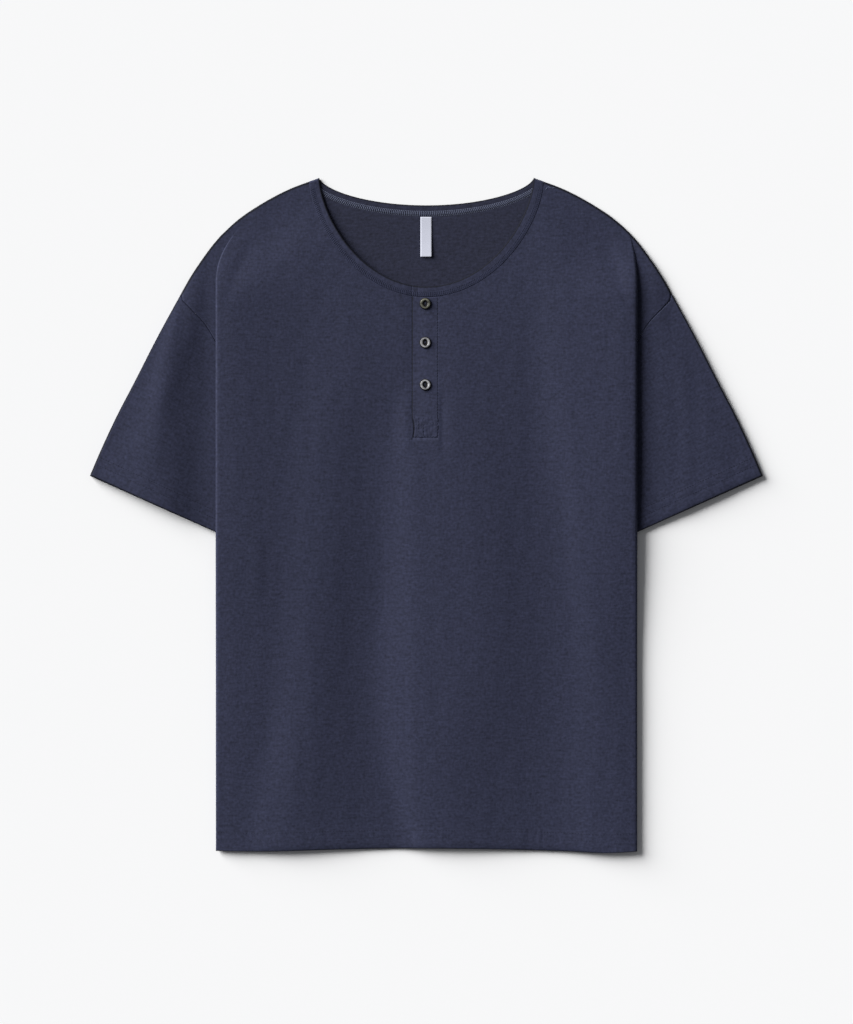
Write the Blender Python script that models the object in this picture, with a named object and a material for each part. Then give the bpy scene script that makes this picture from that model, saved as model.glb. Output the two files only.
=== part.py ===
"""A henley shirt lying face up and flat, as one cloth wall for each sewn piece.

All sizes below are millimetres; MM turns them into metres where a mesh is made.
+X is the wearer's left, +Y the neck end, +Z up from the surface that the shirt lies on.
The panels are worked out as middle surfaces, and a Solidify modifier gives them their wall.

Each panel is as wide as the chest, wider than the shirt lies. Its sides are tucked in as a
gusset: at FOLD_X the cloth turns back on itself, runs inwards, and under the sleeve turns
out again as a wing that carries the sleeve. The back panel does the same upside down.
"""

import math

import bpy
import numpy as np

MM = 0.001

# Cloth
WALL = 1.0  # thickness of one layer
LAYER = 1.35  # from one layer's middle to the next one's
SEAM = 0.5  # bare gap between two pieces that are sewn together
FLOOR = WALL / 2  # height of a layer that lies on the surface
FOLD_RADIUS = LAYER / 2
FRONT_INSET = WALL / 2  # from the outline to the edge of the front's middle surface
BACK_INSET = FRONT_INSET + 1.5  # the back ends inside the front's rolled edge

# Body
HALF_CHEST = 265.0  # half the panel's width, measured on the cloth
FOLD_X = 224.0  # where the side fold starts to turn
FOLD_LEAN = {"right": 18.0, "left": 6.0}  # how far the folds lean in at the shoulder
LEAN_Y = (250.0, 300.0)  # and between which heights of Y
FOLD_TOP = 310.0  # the fold begins to form at this height of Y
FOLD_FULL = 230.0  # and is turned right back from here down
UNDERARM_Y = 58.0
STACK_RAMP = 42.0  # the front climbs onto its tucked sides over this width
LOFT_REACH = 120.0  # and onto its plump folded edges over this width
SEAM_REACH = 4.0  # the side seam draws front and back together over this width
SHOULDER_REACH = 30.0  # the front comes down to the shoulder seam over this width
SOFTNESS = 0.3  # rounds the line where the soft folds meet the tucked sides
SLACK = 0.3  # extra height of the front, but not at its side folds

# Neck
NECK_HALF = 114.5
NECK_TOP = 361.0
NECK_POWER = 1.24  # roundness of the neckline
FRONT_DROP = 116.6
BACK_DROP = 30.0
BAND_WIDTH = 11.0
BAND_WALL = 1.2
BAND_END_DROP = 3.6  # how far the band's outer edge starts below the neck point

# Sleeve
SLEEVE_HEM_TOP = (359.8, 42.3)
SLEEVE_HEM_FOOT = (191.0, -33.0)
SLEEVE_UNDERARM_X = 191.0
UNDER_SLEEVE = 130.0  # the front comes down by the sleeve's two layers over this length
TENT = {"right": 6.0, "left": 2.4}  # a long crest runs down each sleeve's upper side
TENT_RIM = (0.7, 4.5)  # share of its height that the round outer edge has, and its width
TENT_TOP = (302.0, 172.0)  # it begins at the first height and is full from the second down
TENT_OUTER = (5.0, 60.0)  # its distance from the outline, near the shoulder and at the hem
TENT_OUTER_Y = (250.0, 50.0)  # which widens between these heights
TENT_CLEAR = 8.0  # it begins this far beside the body's fold
TENT_INNER = (44.0, 62.0)  # and rises over this width, near the shoulder and at the hem
TENT_INNER_Y = (265.0, 115.0)
ARMHOLE_GAP = 0.8  # along X; the armhole slopes, so the bare gap across it is about SEAM
SETTLE = (240.0, 264.0)  # the sleeve comes down from the fold to the surface between these X
UPPER_SETTLE = (240.0, 350.0)  # and its upper side between these
OVERHANG_REACH = 40.0  # but next to the outline the upper side comes down with the rest

# Placket, buttons and label
PLACKET_X = (-15.3, 12.8)
PLACKET_FOOT = 82.9
BUTTON_X = -1.5
BUTTON_Y = (226.3, 184.6, 139.6)
BUTTON_RADIUS = 6.25
BUTTON_HEIGHT = 2.6
BUTTON_GAP = 0.35
BUTTON_HOLE_Y = (-1.4, 1.4)
BUTTON_HOLE_RADIUS = 0.8
BUTTON_STEPS = 24
# The button's profile as shares of its radius and height, from the underside over the rim
BUTTON_PROFILE = {
    "radius": (0.78, 1.0, 0.98, 0.86, 0.70, 0.46),
    "height": (0.0, 0.34, 0.78, 1.0, 0.82, 0.58),
}
LABEL_X = (-6.4, 5.6)
LABEL_LENGTH = 42.8

# The outline from the neck point over the shoulder and down the sleeve, right half
OUTLINE = {
    "x": (114.5, 148.2, 178.2, 201.7, 224.2, 240.2, 254.1, 265.9, 289.0, 310.8, 333.0, 352.6, 359.8),
    "y": (361.0, 348.3, 332.2, 316.2, 294.8, 273.4, 252.0, 230.6, 187.8, 145.0, 102.2, 59.4, 42.3),
}
# The body's hem line, which waves a little
HEM = {
    "x": (-225.0, -192.0, -92.0, 20.0, 121.0, 154.0, 193.0, 225.0),
    "y": (-358.4, -359.0, -356.8, -355.8, -357.9, -359.0, -360.6, -359.0),
}
# How deep the side fold is tucked in, by height
TUCK = {
    "y": (UNDERARM_Y, 120.0, 186.0, 209.0, 222.0, FOLD_FULL),
    "depth": (38.9, 29.0, 17.8, 10.3, 3.9, 0.0),
}
# How much wider than a tight fold the front's folded edge turns, on each side
LOFT = {
    "y": (-345.0, -220.0, -60.0, 10.0, 190.0, 262.0, FOLD_TOP),
    "right": (0.1, 1.3, 1.3, 1.3, 1.3, 1.1, 0.6),
    "left": (1.2, 1.2, 1.2, 2.6, 2.4, 2.2, 1.2),
}
# The front's soft folds are crest and trough lines that run down it. At each height of Y this
# gives where the lines are across the front, and how far the cloth stands off the back there.
FOLD_Y = (330.0, 235.0, 166.0, 81.0, -5.0, -90.0, -176.0, -262.0, -345.0)
FOLD_X_LINES = {
    "right_trough": (-120.0, -122.0, -132.0, -150.0, -158.0, -161.0, -168.0, -186.0, -214.0),
    "right_crest": (-90.0, -85.0, -90.0, -110.0, -116.0, -128.0, -132.0, -144.0, -170.0),
    "middle_trough": (-30.0, -28.0, -24.0, -46.0, -48.0, -46.0, -50.0, -44.0, -46.0),
    "middle_rise": (0.0, 0.0, 0.0, -6.0, -8.0, -6.0, -6.0, -16.0, -18.0),
    "middle_crest": (25.0, 25.0, 28.0, 40.0, 44.0, 54.0, 44.0, 10.0, 10.0),
    "left_trough": (100.0, 102.0, 106.0, 119.0, 138.0, 143.0, 147.0, 146.0, 140.0),
    "left_crest": (150.0, 158.0, 162.0, 168.0, 172.0, 174.0, 174.0, 174.0, 174.0),
}
FOLD_HEIGHTS = {
    "right_trough": (1.6, 4.0, 4.6, 5.0, 5.0, 4.1, 3.6, 3.2, 2.9),
    "right_crest": (1.6, 4.0, 5.3, 6.4, 6.5, 5.9, 6.0, 6.4, 6.2),
    "middle_trough": (1.4, 2.8, 4.0, 3.6, 3.1, 0.8, 0.5, 0.8, 0.6),
    "middle_rise": (1.4, 2.6, 4.9, 6.6, 7.2, 6.7, 6.8, 6.4, 5.8),
    "middle_crest": (1.4, 2.6, 5.7, 7.6, 8.4, 8.2, 8.2, 7.4, 6.6),
    "left_trough": (1.6, 3.0, 3.2, 3.2, 3.4, 3.6, 3.4, 2.6, 2.2),
    "left_crest": (1.6, 4.4, 5.3, 5.3, 5.3, 5.1, 4.5, 3.8, 3.2),
}
# Heights of Y that the panels' rows share, hem upwards, and the shares of what is left above
ROWS = (
    *(-345.0, -310.0, -265.0, -215.0, -165.0, -115.0, -82.0, -62.0, -46.0),
    *(-30.0, 5.0, 40.0, 62.0, 80.0, 120.0, 160.0, 186.0, 204.0),
)
FRONT_NECK_STEPS = 10
BACK_NECK_STEPS = 7
LEAST_STEP = 1.0  # columns of a fold that has not formed yet stay about this far apart
UPPER_SHARES = (0.2, 0.4, 0.6, 0.8)
EDGE_STEPS = (2.4, 1.2, 0.45, 0.0)  # distances from the edge of the rows that round it
EDGE_ROLL = (0.0, 0.1, 0.35, 0.8)  # how far the front's edge has rolled down at each

NAVY = (0.035, 0.039, 0.066)
NAVY_INSIDE = (0.031, 0.034, 0.058)
LABEL_WHITE = (0.62, 0.63, 0.74)
HORN = (0.12, 0.12, 0.13)


def smooth(share):
    """0 to 1 with level ends."""
    share = np.clip(share, 0.0, 1.0)
    return share * share * (3 - 2 * share)


def down(y, span):
    """0 above the first height of the span, 1 below the second."""
    return smooth((span[0] - y) / (span[0] - span[1]))


def curve(xs, ys, at):
    """A smooth line through the points (xs, ys), read at the given places."""
    xs = np.asarray(xs, float)
    ys = np.asarray(ys, float)
    at = np.asarray(at, float)
    slopes = np.gradient(ys, xs)
    i = np.clip(np.searchsorted(xs, at) - 1, 0, len(xs) - 2)
    width = xs[i + 1] - xs[i]
    t = (at - xs[i]) / width
    inside = np.clip(t, 0.0, 1.0)
    value = (
        (1 + 2 * inside) * (1 - inside) ** 2 * ys[i]
        + inside * (1 - inside) ** 2 * width * slopes[i]
        + inside**2 * (3 - 2 * inside) * ys[i + 1]
        + inside**2 * (inside - 1) * width * slopes[i + 1]
    )
    beyond = (t - inside) * width
    return value + beyond * np.where(t > 1, slopes[i + 1], slopes[i])


def outline_y(x):
    return curve(OUTLINE["x"], OUTLINE["y"], np.abs(x))


def outline_cosine(x):
    """Cosine of the outline's slope, which turns a step along Y into a distance from the edge."""
    rise = outline_y(np.abs(x) + 0.5) - outline_y(np.abs(x) - 0.5)
    return 1 / np.hypot(1.0, rise)


def hem_y(x):
    return curve(HEM["x"], HEM["y"], x)


def neck_y(x, drop, outer=0.0):
    """The neckline Y = top - drop * (1 - (x/half)^2)^(power/2); outer 1 is the band's outer edge."""
    half = NECK_HALF + BAND_WIDTH * outer
    top = NECK_TOP - BAND_END_DROP * outer
    depth = drop + (BAND_WIDTH - BAND_END_DROP) * outer
    return top - depth * np.clip(1 - (x / half) ** 2, 0, None) ** (NECK_POWER / 2)


# --- the gusset fold -----------------------------------------------------------------


def fold_angle(y):
    """The turn of the folds, such that their layers grow evenly in height."""
    return np.arccos(1 - 2 * down(y, (FOLD_TOP, FOLD_FULL)))


def tuck_depth(y):
    return np.clip(curve(TUCK["y"], TUCK["depth"], np.clip(y, UNDERARM_Y, FOLD_FULL)), 0, None)


def fold_x(y, side=0):
    """Where the side folds start to turn: straight down, and leaning in at the shoulder."""
    lean = np.where(side < 0, FOLD_LEAN["right"], FOLD_LEAN["left"])
    return FOLD_X - lean * np.clip((y - LEAN_Y[0]) / (LEAN_Y[1] - LEAN_Y[0]), 0, 1.2) ** 2


def extra_radius(y, side):
    """How much wider the first turn is than the second, on side -1 or 1; none on side 0."""
    level = np.maximum(y, LOFT["y"][0])
    right = curve(LOFT["y"], LOFT["right"], level)
    left = curve(LOFT["y"], LOFT["left"], level)
    return np.clip(np.where(side < 0, right, left), 0, None) * np.abs(side)


def fold_marks(y, side=0):
    """Places on the cloth where the first turn starts and ends, the second one starts and ends,
    and the cloth ends. The wider turn takes its cloth from the tuck, or is cut with more."""
    angle = fold_angle(y)
    extra = extra_radius(y, side)
    start = fold_x(y, side) - extra
    turned = start + (FOLD_RADIUS + extra) * angle
    taken = extra * (angle - np.sin(angle)) / np.maximum(1 - np.cos(angle), 1e-6)
    kept = np.clip(tuck_depth(y) - taken, 0, None)
    more = np.clip(taken - tuck_depth(y), 0, None) * (1 - np.cos(angle))
    back_end = turned + kept + FOLD_RADIUS * angle
    return start, turned, turned + kept, back_end, HALF_CHEST + more


def section(p, y, side=0):
    """Half a panel's cross section at height y: where the cloth at p from its middle lies.

    The cloth turns by the fold's angle, runs straight for the tuck's depth, and turns back
    again. Returns its distance from the middle and how far it has dropped.
    """
    angle = fold_angle(y)
    radius = FOLD_RADIUS + extra_radius(y, side)
    start, turned, back_start, back_end, _ = fold_marks(y, side)
    first = np.clip(p, start, turned) - start
    straight = np.clip(p, turned, back_start) - turned
    second = np.clip(p, back_start, back_end) - back_start
    left = angle - second / FOLD_RADIUS
    x = (
        np.minimum(p, start)
        + radius * np.sin(first / radius)
        + straight * np.cos(angle)
        + FOLD_RADIUS * (np.sin(angle) - np.sin(left))
        + np.clip(p - back_end, 0, None)
    )
    drop = (
        radius * (1 - np.cos(first / radius))
        + straight * np.sin(angle)
        + FOLD_RADIUS * (np.cos(left) - np.cos(angle))
    )
    return x, drop


def full_drop(y):
    """From the body's upper layer to the wing under it, two layers where the fold is full."""
    return LAYER * (1 - np.cos(fold_angle(y))) + tuck_depth(y) * np.sin(fold_angle(y))


def fold_loft(reach, y, side):
    """Extra height of the front over its plump fold, run out towards the middle."""
    near = smooth((reach - fold_x(y, side) + LOFT_REACH) / (LOFT_REACH - 4.0))
    return near * extra_radius(y, side) * (1 - np.cos(fold_angle(y)))


def without_sleeve(y):
    """1 below the sleeve's hem, where the folds hold two layers less."""
    return smooth((SLEEVE_HEM_FOOT[1] - 3 - y) / UNDER_SLEEVE)


def seam_pull(p, y, side=0):
    """Draws the edge of the tucked cloth to the side seam's middle height."""
    _, drop = section(np.full_like(y, HALF_CHEST), y)
    missing = np.clip(full_drop(y) - drop, 0, None) * (1 - without_sleeve(y))
    edge = fold_marks(y, side)[-1]
    return missing * smooth(1 - (edge - p) / SEAM_REACH)


def settle(x):
    return smooth((np.abs(x) - SETTLE[0]) / (SETTLE[1] - SETTLE[0]))


def away_from_outline(x, y):
    return (outline_y(x) - y) * outline_cosine(x)


def through(xs, heights, x):
    """Height at x of a curve through lines at xs with these heights, level at its crests.

    It is a cubic Hermite curve. A line's slope is the harmonic mean of the two slopes beside
    it, or none where they have different signs.
    """
    rise = np.diff(heights, axis=0) / np.maximum(np.diff(xs, axis=0), 1.0)
    both = rise[1:] * rise[:-1]
    slopes = np.zeros_like(xs)
    slopes[1:-1] = np.where(both > 0, 2 * both / np.where(both > 0, rise[1:] + rise[:-1], 1), 0)
    total = np.where(x < xs[0], heights[0], heights[-1])
    for i in range(len(xs) - 1):
        width = np.maximum(xs[i + 1] - xs[i], 1.0)
        t = (x - xs[i]) / width
        part = (
            (1 + 2 * t) * (1 - t) ** 2 * heights[i]
            + t * (1 - t) ** 2 * width * slopes[i]
            + t**2 * (3 - 2 * t) * heights[i + 1]
            + t**2 * (t - 1) * width * slopes[i + 1]
        )
        total = np.where((t >= 0) & (t < 1), part, total)
    return total


def soft_folds(x, y):
    """How far the front's upper layer stands off the back: its soft folds, or if it is more,
    the layers that are tucked under its sides."""
    stack = 2 * full_drop(y) - 2 * LAYER * without_sleeve(y)
    level = np.clip(y, FOLD_Y[-1], FOLD_Y[0])
    xs = [curve(FOLD_Y[::-1], line[::-1], level) for line in FOLD_X_LINES.values()]
    heights = [curve(FOLD_Y[::-1], line[::-1], level) for line in FOLD_HEIGHTS.values()]
    xs = [4 - fold_x(y, -1)] + xs + [fold_x(y, 1) - 4]
    heights = [stack] + heights + [stack]
    shape = np.broadcast(x, y).shape
    xs = np.stack([np.broadcast_to(line, shape) for line in xs])
    heights = np.stack([np.broadcast_to(line, shape) for line in heights])
    folds = through(xs, heights, x) * smooth(away_from_outline(x, y) / SHOULDER_REACH)
    beside_fold = fold_x(y, np.sign(x)) - np.abs(x)
    inner = tuck_depth(y) + SEAM_REACH
    least = stack * smooth((inner - beside_fold) / STACK_RAMP + 1)
    soft = SOFTNESS * smooth(beside_fold / 20)
    slack = SLACK * smooth(beside_fold / 20)
    return (folds + least + np.hypot(folds - least, soft)) / 2 + slack


def front_main(x, y):
    """Height of the front's upper layer."""
    return FLOOR + LAYER + soft_folds(x, y)


def overhang(x, y):
    """The front and the sleeve's upper side come down later than what is under them, except
    along the outline, where they meet."""
    width = UPPER_SETTLE[1] - UPPER_SETTLE[0]
    late = settle(x) - smooth((np.abs(x) - UPPER_SETTLE[0]) / width)
    return full_drop(y) * late * smooth(away_from_outline(x, y) / OVERHANG_REACH)


def sleeve_tent(x, y):
    """The crest along a sleeve: it rises from the outline and falls to the body's fold."""
    away = away_from_outline(x, y)
    height = np.where(x < 0, TENT["right"], TENT["left"]) * down(y, TENT_TOP)
    outer = TENT_OUTER[0] + (TENT_OUTER[1] - TENT_OUTER[0]) * down(y, TENT_OUTER_Y)
    inner = TENT_INNER[0] + (TENT_INNER[1] - TENT_INNER[0]) * down(y, TENT_INNER_Y)
    rim = TENT_RIM[0] * np.sqrt(1 - np.clip(1 - away / TENT_RIM[1], 0, 1) ** 2)
    rise = rim + (1 - TENT_RIM[0]) * smooth(away / outer)
    return height * rise * smooth((np.abs(x) - fold_x(y, np.sign(x)) - TENT_CLEAR) / inner)


def edge_roll(x, y):
    """The front's edge rolls down over the back's, along the outline beside the neck point."""
    away = away_from_outline(x, y) - WALL / 2
    beside_neck = smooth((np.abs(x) - NECK_HALF) / 6 + 1)
    return np.interp(away, EDGE_STEPS[::-1], EDGE_ROLL[::-1]) * beside_neck


def front_surface(p, y):
    side = np.sign(p)
    reach = np.abs(p)
    x, drop = section(reach, y, side)
    upper = front_main(side * np.minimum(x, fold_x(y, side)), y) + fold_loft(reach, y, side)
    x = side * x
    z = upper - drop - seam_pull(reach, y, side) - full_drop(y) * settle(x)
    return x, y, z + overhang(x, y) + sleeve_tent(x, y) - edge_roll(x, y)


def back_surface(p, y):
    side = np.sign(p)
    reach = np.abs(p)
    x, drop = section(reach, y)
    z = FLOOR + drop + seam_pull(reach, y) - full_drop(y) * settle(x)
    return side * x, y, z


# --- grids ---------------------------------------------------------------------------


def top_y(p, side, inset, neck_drop):
    """Where the cloth at p ends: at the shoulder outline or, nearer the middle, the band's edge."""
    y = np.full_like(p, FOLD_FULL)
    for _ in range(40):
        x, _ = section(p, y, side)
        y = (y + outline_y(x) - inset / outline_cosine(x)) / 2
    in_neck = p < NECK_HALF + BAND_WIDTH
    return np.where(in_neck, np.minimum(neck_y(p, neck_drop, 1.0), y), y)


def column_shares(neck, shoulder, arc, straight, wing):
    """For each column of half a panel, the stretch that it lies in and its share of that.

    The stretches end under the neckband's end, at the fold, its turn, the tuck, its turn back,
    and the armhole edge.
    """
    shares = [np.sin(np.linspace(0, math.pi / 2, neck + 1))[:-1]]
    shares += [np.arange(steps) / steps for steps in (shoulder, arc, straight, arc)]
    shares.append(np.linspace(0, 1, wing + 1))
    stretch = np.repeat(np.arange(len(shares)), [len(part) for part in shares])
    return stretch, np.concatenate(shares)


def column_places(columns, y, side):
    """Places p of the columns on the cloth, where y holds the heights of each column's rows."""
    stretch, share = columns
    start, turned, back_start, back_end, edge = fold_marks(y, side)
    turned = np.maximum(turned, start + LEAST_STEP)
    back_start = np.clip(back_start, turned + LEAST_STEP, edge - 4 * LEAST_STEP)
    back_end = np.clip(back_end, back_start + LEAST_STEP, edge - 1.4 * LEAST_STEP)
    level = np.zeros_like(y)
    marks = [level, level + NECK_HALF + BAND_WIDTH, start, turned, back_start, back_end, edge]
    begin = np.choose(stretch, marks[:-1])
    end = np.choose(stretch, marks[1:])
    return begin + (end - begin) * share


def row_heights(p, side, inset, neck_drop, hem_lift):
    """Heights of the rows of the column at p, from the hem to the edge that it ends at."""
    top = top_y(np.array(p), side, inset, neck_drop)
    x_top, _ = section(p, top, side)
    steps = np.array(EDGE_STEPS)
    if p > NECK_HALF:
        steps = steps / outline_cosine(x_top)
    upper = ROWS[-1] + (top - steps[0] - ROWS[-1]) * np.array(UPPER_SHARES)
    hem = hem_y(side * p) + hem_lift
    return np.concatenate([[hem], ROWS, upper, top - steps])


def half_grid(columns, side, inset, neck_drop, hem_lift):
    """Places p and heights y of the rows of half a panel, on side -1 or 1, or 0 for a tight fold."""
    places = column_places(columns, np.full((1, len(columns[0])), FOLD_FULL), side)
    for _ in range(4):
        rows = [row_heights(p, side, inset, neck_drop, hem_lift) for p in places[-1]]
        heights = np.stack(rows, axis=1)
        places = column_places(columns, heights, side)
    return places, heights


def panel_grid(surface, columns, plump, inset, neck_drop, hem_lift):
    """Points of a whole panel, row by row from the hem, from the wearer's right to the left."""
    right = half_grid(columns, -plump, inset, neck_drop, hem_lift)
    left = half_grid(columns, plump, inset, neck_drop, hem_lift)
    p = np.concatenate([-right[0][:, :0:-1], left[0]], axis=1)
    y = np.concatenate([right[1][:, :0:-1], left[1]], axis=1)
    x_hem, _ = section(np.abs(p[0]), y[0])
    y[0] = hem_y(np.sign(p[0]) * x_hem) + hem_lift
    return np.stack(surface(p, y), axis=-1)


def grid_faces(rows, cols, ring):
    """Quads between the rows of a grid, closed into a ring across the columns if asked."""
    faces = []
    for i in range(rows - 1):
        for j in range(cols if ring else cols - 1):
            k = (j + 1) % cols
            faces.append((i * cols + j, i * cols + k, (i + 1) * cols + k, (i + 1) * cols + j))
    return faces


def material(name, colour, roughness):
    made = bpy.data.materials.new(name)
    made.use_nodes = True
    shader = made.node_tree.nodes["Principled BSDF"]
    shader.inputs["Base Color"].default_value = (*colour, 1.0)
    shader.inputs["Roughness"].default_value = roughness
    return made


def add_object(name, points, faces, colour, roughness):
    mesh = bpy.data.meshes.new(name)
    mesh.from_pydata((np.asarray(points).reshape(-1, 3) * MM).tolist(), [], faces)
    mesh.shade_smooth()
    mesh.materials.append(material(name, colour, roughness))
    made = bpy.data.objects.new(name, mesh)
    bpy.context.scene.collection.objects.link(made)
    return made


def add_cloth(name, grid, wall, colour, ring=False):
    """A cloth piece: the grid is its middle surface, and the wall is laid evenly about it."""
    rows, cols = grid.shape[:2]
    made = add_object(name, grid, grid_faces(rows, cols, ring), colour, 0.9)
    solidify = made.modifiers.new("wall", "SOLIDIFY")
    solidify.thickness = wall * MM
    solidify.offset = 0.0
    return made


def height_on(grid, x, y):
    """Height of a panel's faceted surface at x, y, between the columns beside it."""
    across = grid[0, :, 0]
    out = np.empty_like(x)
    for i, (px, py) in enumerate(zip(x.flat, y.flat)):
        j = int(np.clip(np.searchsorted(across, px) - 1, 0, len(across) - 2))
        near = [np.interp(py, grid[:, k, 1], grid[:, k, 2]) for k in (j, j + 1)]
        share = (px - across[j]) / (across[j + 1] - across[j])
        out.flat[i] = near[0] + (near[1] - near[0]) * share
    return out


# --- pieces --------------------------------------------------------------------------


def add_front_panel():
    columns = column_shares(neck=FRONT_NECK_STEPS, shoulder=8, arc=4, straight=2, wing=3)
    grid = panel_grid(front_surface, columns, 1, FRONT_INSET, FRONT_DROP, hem_lift=0.0)
    add_cloth("front_panel", grid, WALL, NAVY)
    return grid


def add_back_panel():
    """The back is cut back from the front's edges, which roll down over it."""
    columns = column_shares(neck=BACK_NECK_STEPS, shoulder=5, arc=4, straight=1, wing=3)
    grid = panel_grid(back_surface, columns, 0, BACK_INSET, BACK_DROP, hem_lift=1.6)
    add_cloth("back_panel", grid, WALL, NAVY_INSIDE)
    return grid


def add_neckband(name, surface, drop, wall, inset, colour, steps):
    """Half of the neckband, from neck point to neck point, between its two edges.

    Its outer edge has the corners of the panel's, whose neck columns are spaced alike.
    """
    angle = np.linspace(-math.pi / 2, math.pi / 2, 2 * steps + 1)[:, None]
    across = np.linspace(1.0 - SEAM / BAND_WIDTH, 0.0, 3)[None, :]
    x = (NECK_HALF + BAND_WIDTH * across) * np.sin(angle)
    cosine = np.clip(np.cos(angle), 0, None) ** NECK_POWER
    depth = drop + (BAND_WIDTH - BAND_END_DROP) * across
    y = NECK_TOP - BAND_END_DROP * across - depth * cosine
    y = np.minimum(y, outline_y(x) - inset / outline_cosine(x))
    grid = np.stack(surface(x, y), axis=-1)
    add_cloth(name, grid.transpose(1, 0, 2), wall, colour)


def sleeve_plan(armhole, along):
    """The sleeve's plan: a patch between the armhole, the hem, the outline and the underarm."""
    share = (armhole[0, 1] - armhole[:, 1]) / (armhole[0, 1] - armhole[-1, 1])
    s = share[:, None, None]
    u = along[None, :, None]
    out_x = armhole[0, 0] + (SLEEVE_HEM_TOP[0] - WALL / 2 - armhole[0, 0]) * along
    outline = np.stack([out_x, outline_y(out_x) - WALL / 2 / outline_cosine(out_x)], -1)
    foot = np.array(SLEEVE_HEM_FOOT)
    hem = outline[-1] + (foot - outline[-1]) * s
    underarm = armhole[-1] + (foot - armhole[-1]) * u
    corners = (1 - s) * ((1 - u) * armhole[0] + u * outline[-1])
    corners = corners + s * ((1 - u) * armhole[-1] + u * foot)
    plan = (1 - u) * armhole[:, None, :] + u * hem + (1 - s) * outline[None] + s * underarm
    return plan - corners, share[:, None]


def add_sleeve(name, side):
    """A short sleeve as a flattened tube, from the armhole seam to its hem."""
    rows = row_heights(HALF_CHEST, 0, FRONT_INSET, FRONT_DROP, 0.0)[::-1]
    rows = rows[rows > UNDERARM_Y + 3]
    arm_x, _ = section(np.full_like(rows, HALF_CHEST), rows)
    armhole = np.stack([np.maximum(arm_x + ARMHOLE_GAP, SLEEVE_UNDERARM_X), rows], -1)
    along = np.linspace(0, 1, 15)
    plan, share = sleeve_plan(armhole, along)

    width = np.linalg.norm(plan[0] - plan[-1], axis=-1)
    edge = np.minimum(share, 1 - share) * width
    half = FOLD_RADIUS * np.sqrt(1 - np.clip(1 - edge / FOLD_RADIUS, 0, 1) ** 2)
    x, y = plan[..., 0], plan[..., 1]
    middle = FLOOR + FOLD_RADIUS + full_drop(y) * (1 - settle(x))
    relief = overhang(side * x, y) + sleeve_tent(side * x, y)
    upper = np.stack([side * x, y, middle + half + relief], -1)
    lower = np.stack([side * x, y, middle - half], -1)[-2:0:-1]
    ring = np.concatenate([upper, lower]).transpose(1, 0, 2)
    if side > 0:
        ring = ring[:, ::-1]
    add_cloth(name, ring, WALL, NAVY, ring=True)


def add_placket(front):
    """The button strip, lying on the front from the band down to its boxed foot."""
    across = np.linspace(*PLACKET_X, 5)[None, :]
    along = np.linspace(0, 1, 15)[:, None]
    top = neck_y(across, FRONT_DROP, 1.0) - SEAM
    y = PLACKET_FOOT + (top - PLACKET_FOOT) * along
    x = across + 0 * y
    z = height_on(front, x, y) + LAYER
    grid = np.stack([x, y, z], -1)
    add_cloth("placket", grid, WALL, NAVY)
    return grid


def add_label(back):
    """The size label, a tab that hangs from the back neck seam."""
    x, y = np.meshgrid(
        np.linspace(*LABEL_X, 3),
        neck_y(0.0, BACK_DROP, 1.0) - SEAM - LABEL_LENGTH * np.linspace(1, 0, 5),
    )
    z = height_on(back, x, y) + LAYER
    add_cloth("label", np.stack([x, y, z], -1), WALL, LABEL_WHITE)


def add_button(name, y, placket):
    """A turned two-hole button with a raised rim and a dished middle, on the placket."""
    beside = np.array([BUTTON_X, BUTTON_X]), y + np.array([-BUTTON_RADIUS, BUTTON_RADIUS])
    seat = height_on(placket, *beside).max() + WALL / 2 + BUTTON_GAP
    turn = np.linspace(0, 2 * math.pi, BUTTON_STEPS, endpoint=False)[None, :]
    radius = BUTTON_RADIUS * np.array(BUTTON_PROFILE["radius"])[:, None]
    height = BUTTON_HEIGHT * np.array(BUTTON_PROFILE["height"])[:, None]
    x = BUTTON_X + radius * np.cos(turn)
    points = np.stack([x, y + radius * np.sin(turn), seat + height + 0 * turn], -1)
    faces = grid_faces(len(radius), BUTTON_STEPS, ring=True)
    last = (len(radius) - 1) * BUTTON_STEPS
    faces.append(tuple(range(BUTTON_STEPS))[::-1])
    faces.append(tuple(range(last, last + BUTTON_STEPS)))
    button = add_object(name, points, faces, HORN, 0.35)
    for k, offset in enumerate(BUTTON_HOLE_Y):
        bpy.ops.mesh.primitive_cylinder_add(
            vertices=10,
            radius=BUTTON_HOLE_RADIUS * MM,
            depth=3 * BUTTON_HEIGHT * MM,
            location=(BUTTON_X * MM, (y + offset) * MM, seat * MM),
        )
        hole = bpy.context.object
        hole.name = f"{name}_hole_{k}"
        hole.hide_render = True
        hole.display_type = "WIRE"
        cut = button.modifiers.new(hole.name, "BOOLEAN")
        cut.operation = "DIFFERENCE"
        cut.object = hole


for old in list(bpy.data.objects):
    bpy.data.objects.remove(old)

front_grid = add_front_panel()
back_grid = add_back_panel()
add_neckband(
    "neckband_front", front_surface, FRONT_DROP, BAND_WALL, FRONT_INSET, NAVY, FRONT_NECK_STEPS
)
add_neckband(
    "neckband_back", back_surface, BACK_DROP, WALL, BACK_INSET, NAVY_INSIDE, BACK_NECK_STEPS
)
add_sleeve("sleeve_left", 1)
add_sleeve("sleeve_right", -1)
placket_grid = add_placket(front_grid)
for number, height in enumerate(BUTTON_Y):
    add_button(f"button_{number + 1}", height, placket_grid)
add_label(back_grid)
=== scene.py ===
"""The looks of a navy henley shirt that lies face up and flat on a pale surface."""

import math

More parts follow.
